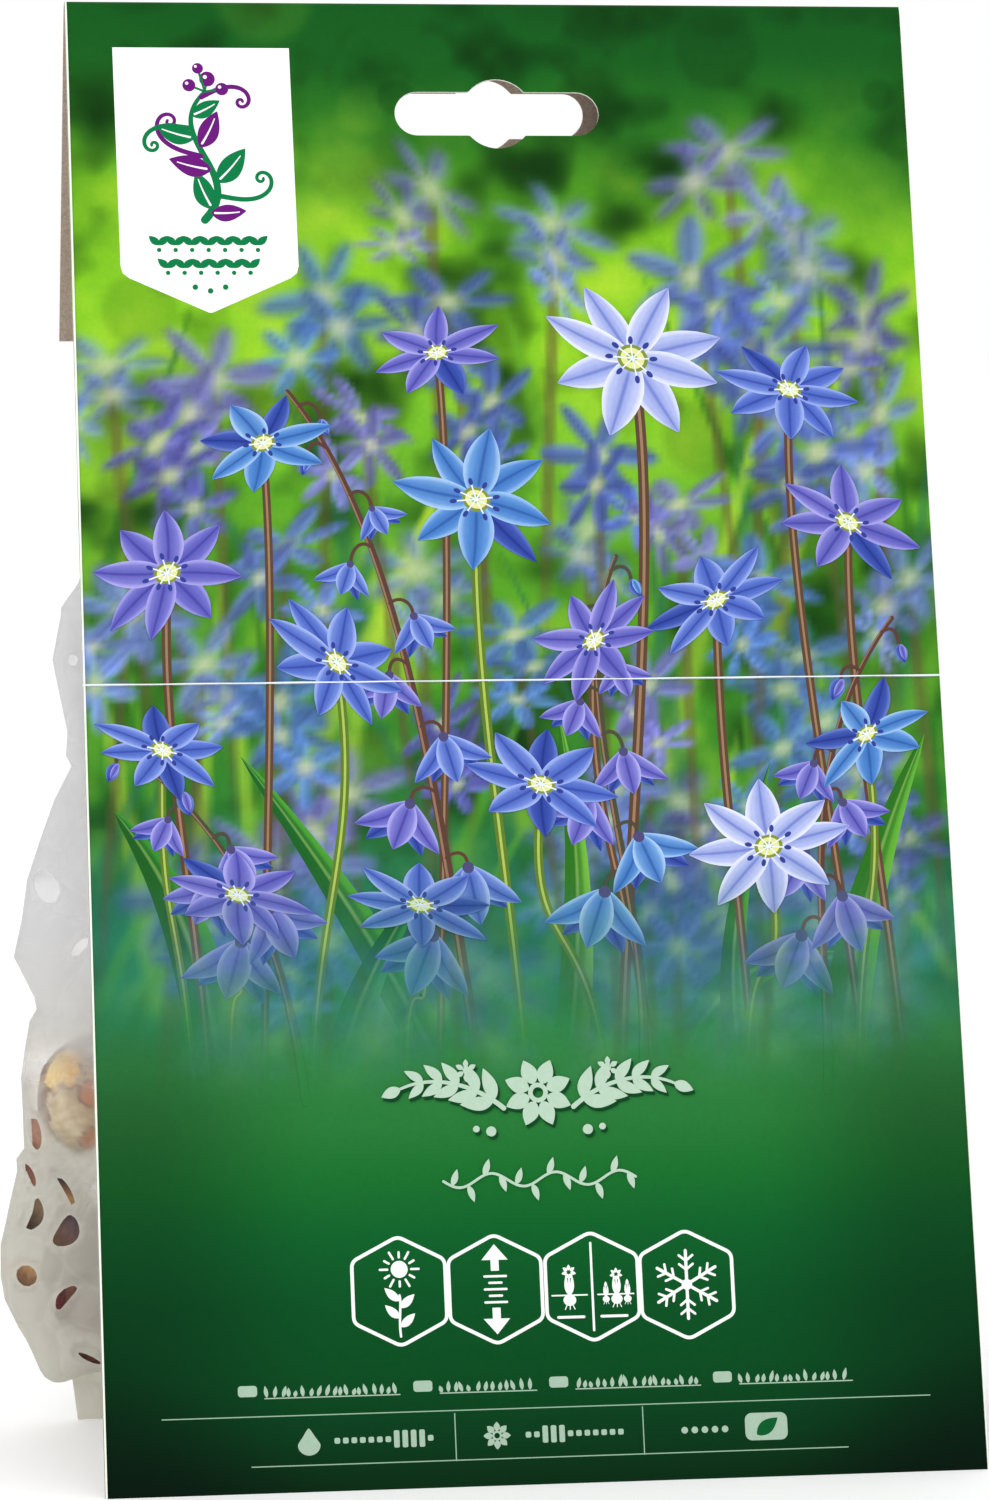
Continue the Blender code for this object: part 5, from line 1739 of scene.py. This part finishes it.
looseScales = {
    # shed skins just behind the folded vents, in the vents' order: the tones at their two ends
    "tones": (("#b48a76", "#a87a68"), ("#8f5d50", "#a06d5c"), ("#3a2440", "#c0945c"), ("#9c8468", "#4f382c"),
              ("#5c4650", "#7f6052"), ("#c89a6c", "#8f6a54"), ("#5a3f4e", "#7c3238"), ("#8a5348", "#5f3034")),
    "depth": 1.7, "margin": 1.1, "thick": 0.15, "around": 28, "rings": 8, "seed": 60,
    # least distances to the bag's side and to the film's front wall, and how much a scale is cupped
    "sideGap": 1.2, "wallGap": 0.7, "cup": 0.04,
    # shares of the depth by which a scale stands to the right of its vent and below it, because the
    # vents are looked through from ahead and above
    "sightRight": 0.06, "sightDown": 0.19,
}


def wallDepth(x, z):
    # how deep the crumpled front wall stands at each (x, z): the mean of its four nearest points
    gap = np.hypot(x[:, None] - frontWall[:, 0], z[:, None] - frontWall[:, 2])
    return frontWall[np.argsort(gap, axis=1)[:, :4], 1].mean(axis=1)


def makeScales():
    # each scale is a thin ragged shell that follows the film a little behind it
    around, rings, margin = looseScales["around"], looseScales["rings"], looseScales["margin"]
    depth, thick = looseScales["depth"], looseScales["thick"]
    angle = np.arange(around) * 2 * pi / around
    ring = 1 + np.arange(around)
    rows = gridFaces(rings, around, wrap=True)[:, ::-1] + 1
    faces = np.concatenate([fanFaces(0, ring, np.roll(ring, -1)), rows])
    share = np.arange(1, rings + 1) / rings
    shapes = []
    for index, (tones, vent) in enumerate(zip(looseScales["tones"], bag["foldedVents"])):
        draw = np.random.default_rng(looseScales["seed"] + index)
        cx, cz, wide, tall, turn, bend = vent
        ragged = 1 + 0.10 * np.sin(angle * 3 + draw.uniform(0, 6))
        ragged = ragged + 0.07 * np.sin(angle * 7 + draw.uniform(0, 6))
        a = np.append(0, np.outer(share, np.cos(angle) * ragged * (wide + margin)))
        b = np.append(0, np.outer(share, np.sin(angle) * ragged * (tall + margin)))
        x, z = turned(a - bend * b ** 2, b, turn, (cx, cz))
        z = z - looseScales["sightDown"] * depth
        nearest = curve(bag["leftSide"], z) + looseScales["sideGap"]
        x = np.maximum(x + looseScales["sightRight"] * depth, nearest)
        wall = wallDepth(x, z)
        y = wall.max() + depth + looseScales["cup"] * a ** 2 + 0.15 * np.sin(b * 1.1 + index)
        y = np.maximum(wall + looseScales["wallGap"], (y + wall + depth) / 2)
        top = np.stack([x, y, z], -1)
        upper, lower = (linear(tone) for tone in tones)
        vein = 0.8 + 0.4 * cloudValue(a * 3, b, 1.0, index)
        tone = blend(lower, upper, smooth(-tall, tall, b + 0.5 * np.sin(a * 2))) * vein[:, None]
        shapes.append((*slab(top, top + [0, thick, 0], faces), np.tile(tone, (2, 1))))
    points, faces, skin = joined(shapes)
    addPiece("shedScales", toWorld(points), faces, tunicFinish, {"skin": skin})


makeScales()
print("shed scales done")


def finishStrip():
    # hot-melt adhesive: clear amber, smooth, a little glossy
    material, tree, shader = newMaterial("hotMeltAdhesive")
    ripple = addNoise(tree, addNode(tree, "ShaderNodeTexCoord"), 220.0)
    tone = addRamp(tree, ripple.outputs["Fac"], [(0.3, linear("#cbbf95")), (0.7, linear("#e0d7b4"))])
    tree.links.new(tone, shader.inputs["Base Color"])
    shader.inputs["Roughness"].default_value = 0.3
    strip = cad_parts["adhesive_strip"]
    strip.data.materials.clear()
    strip.data.materials.append(material)


finishStrip()
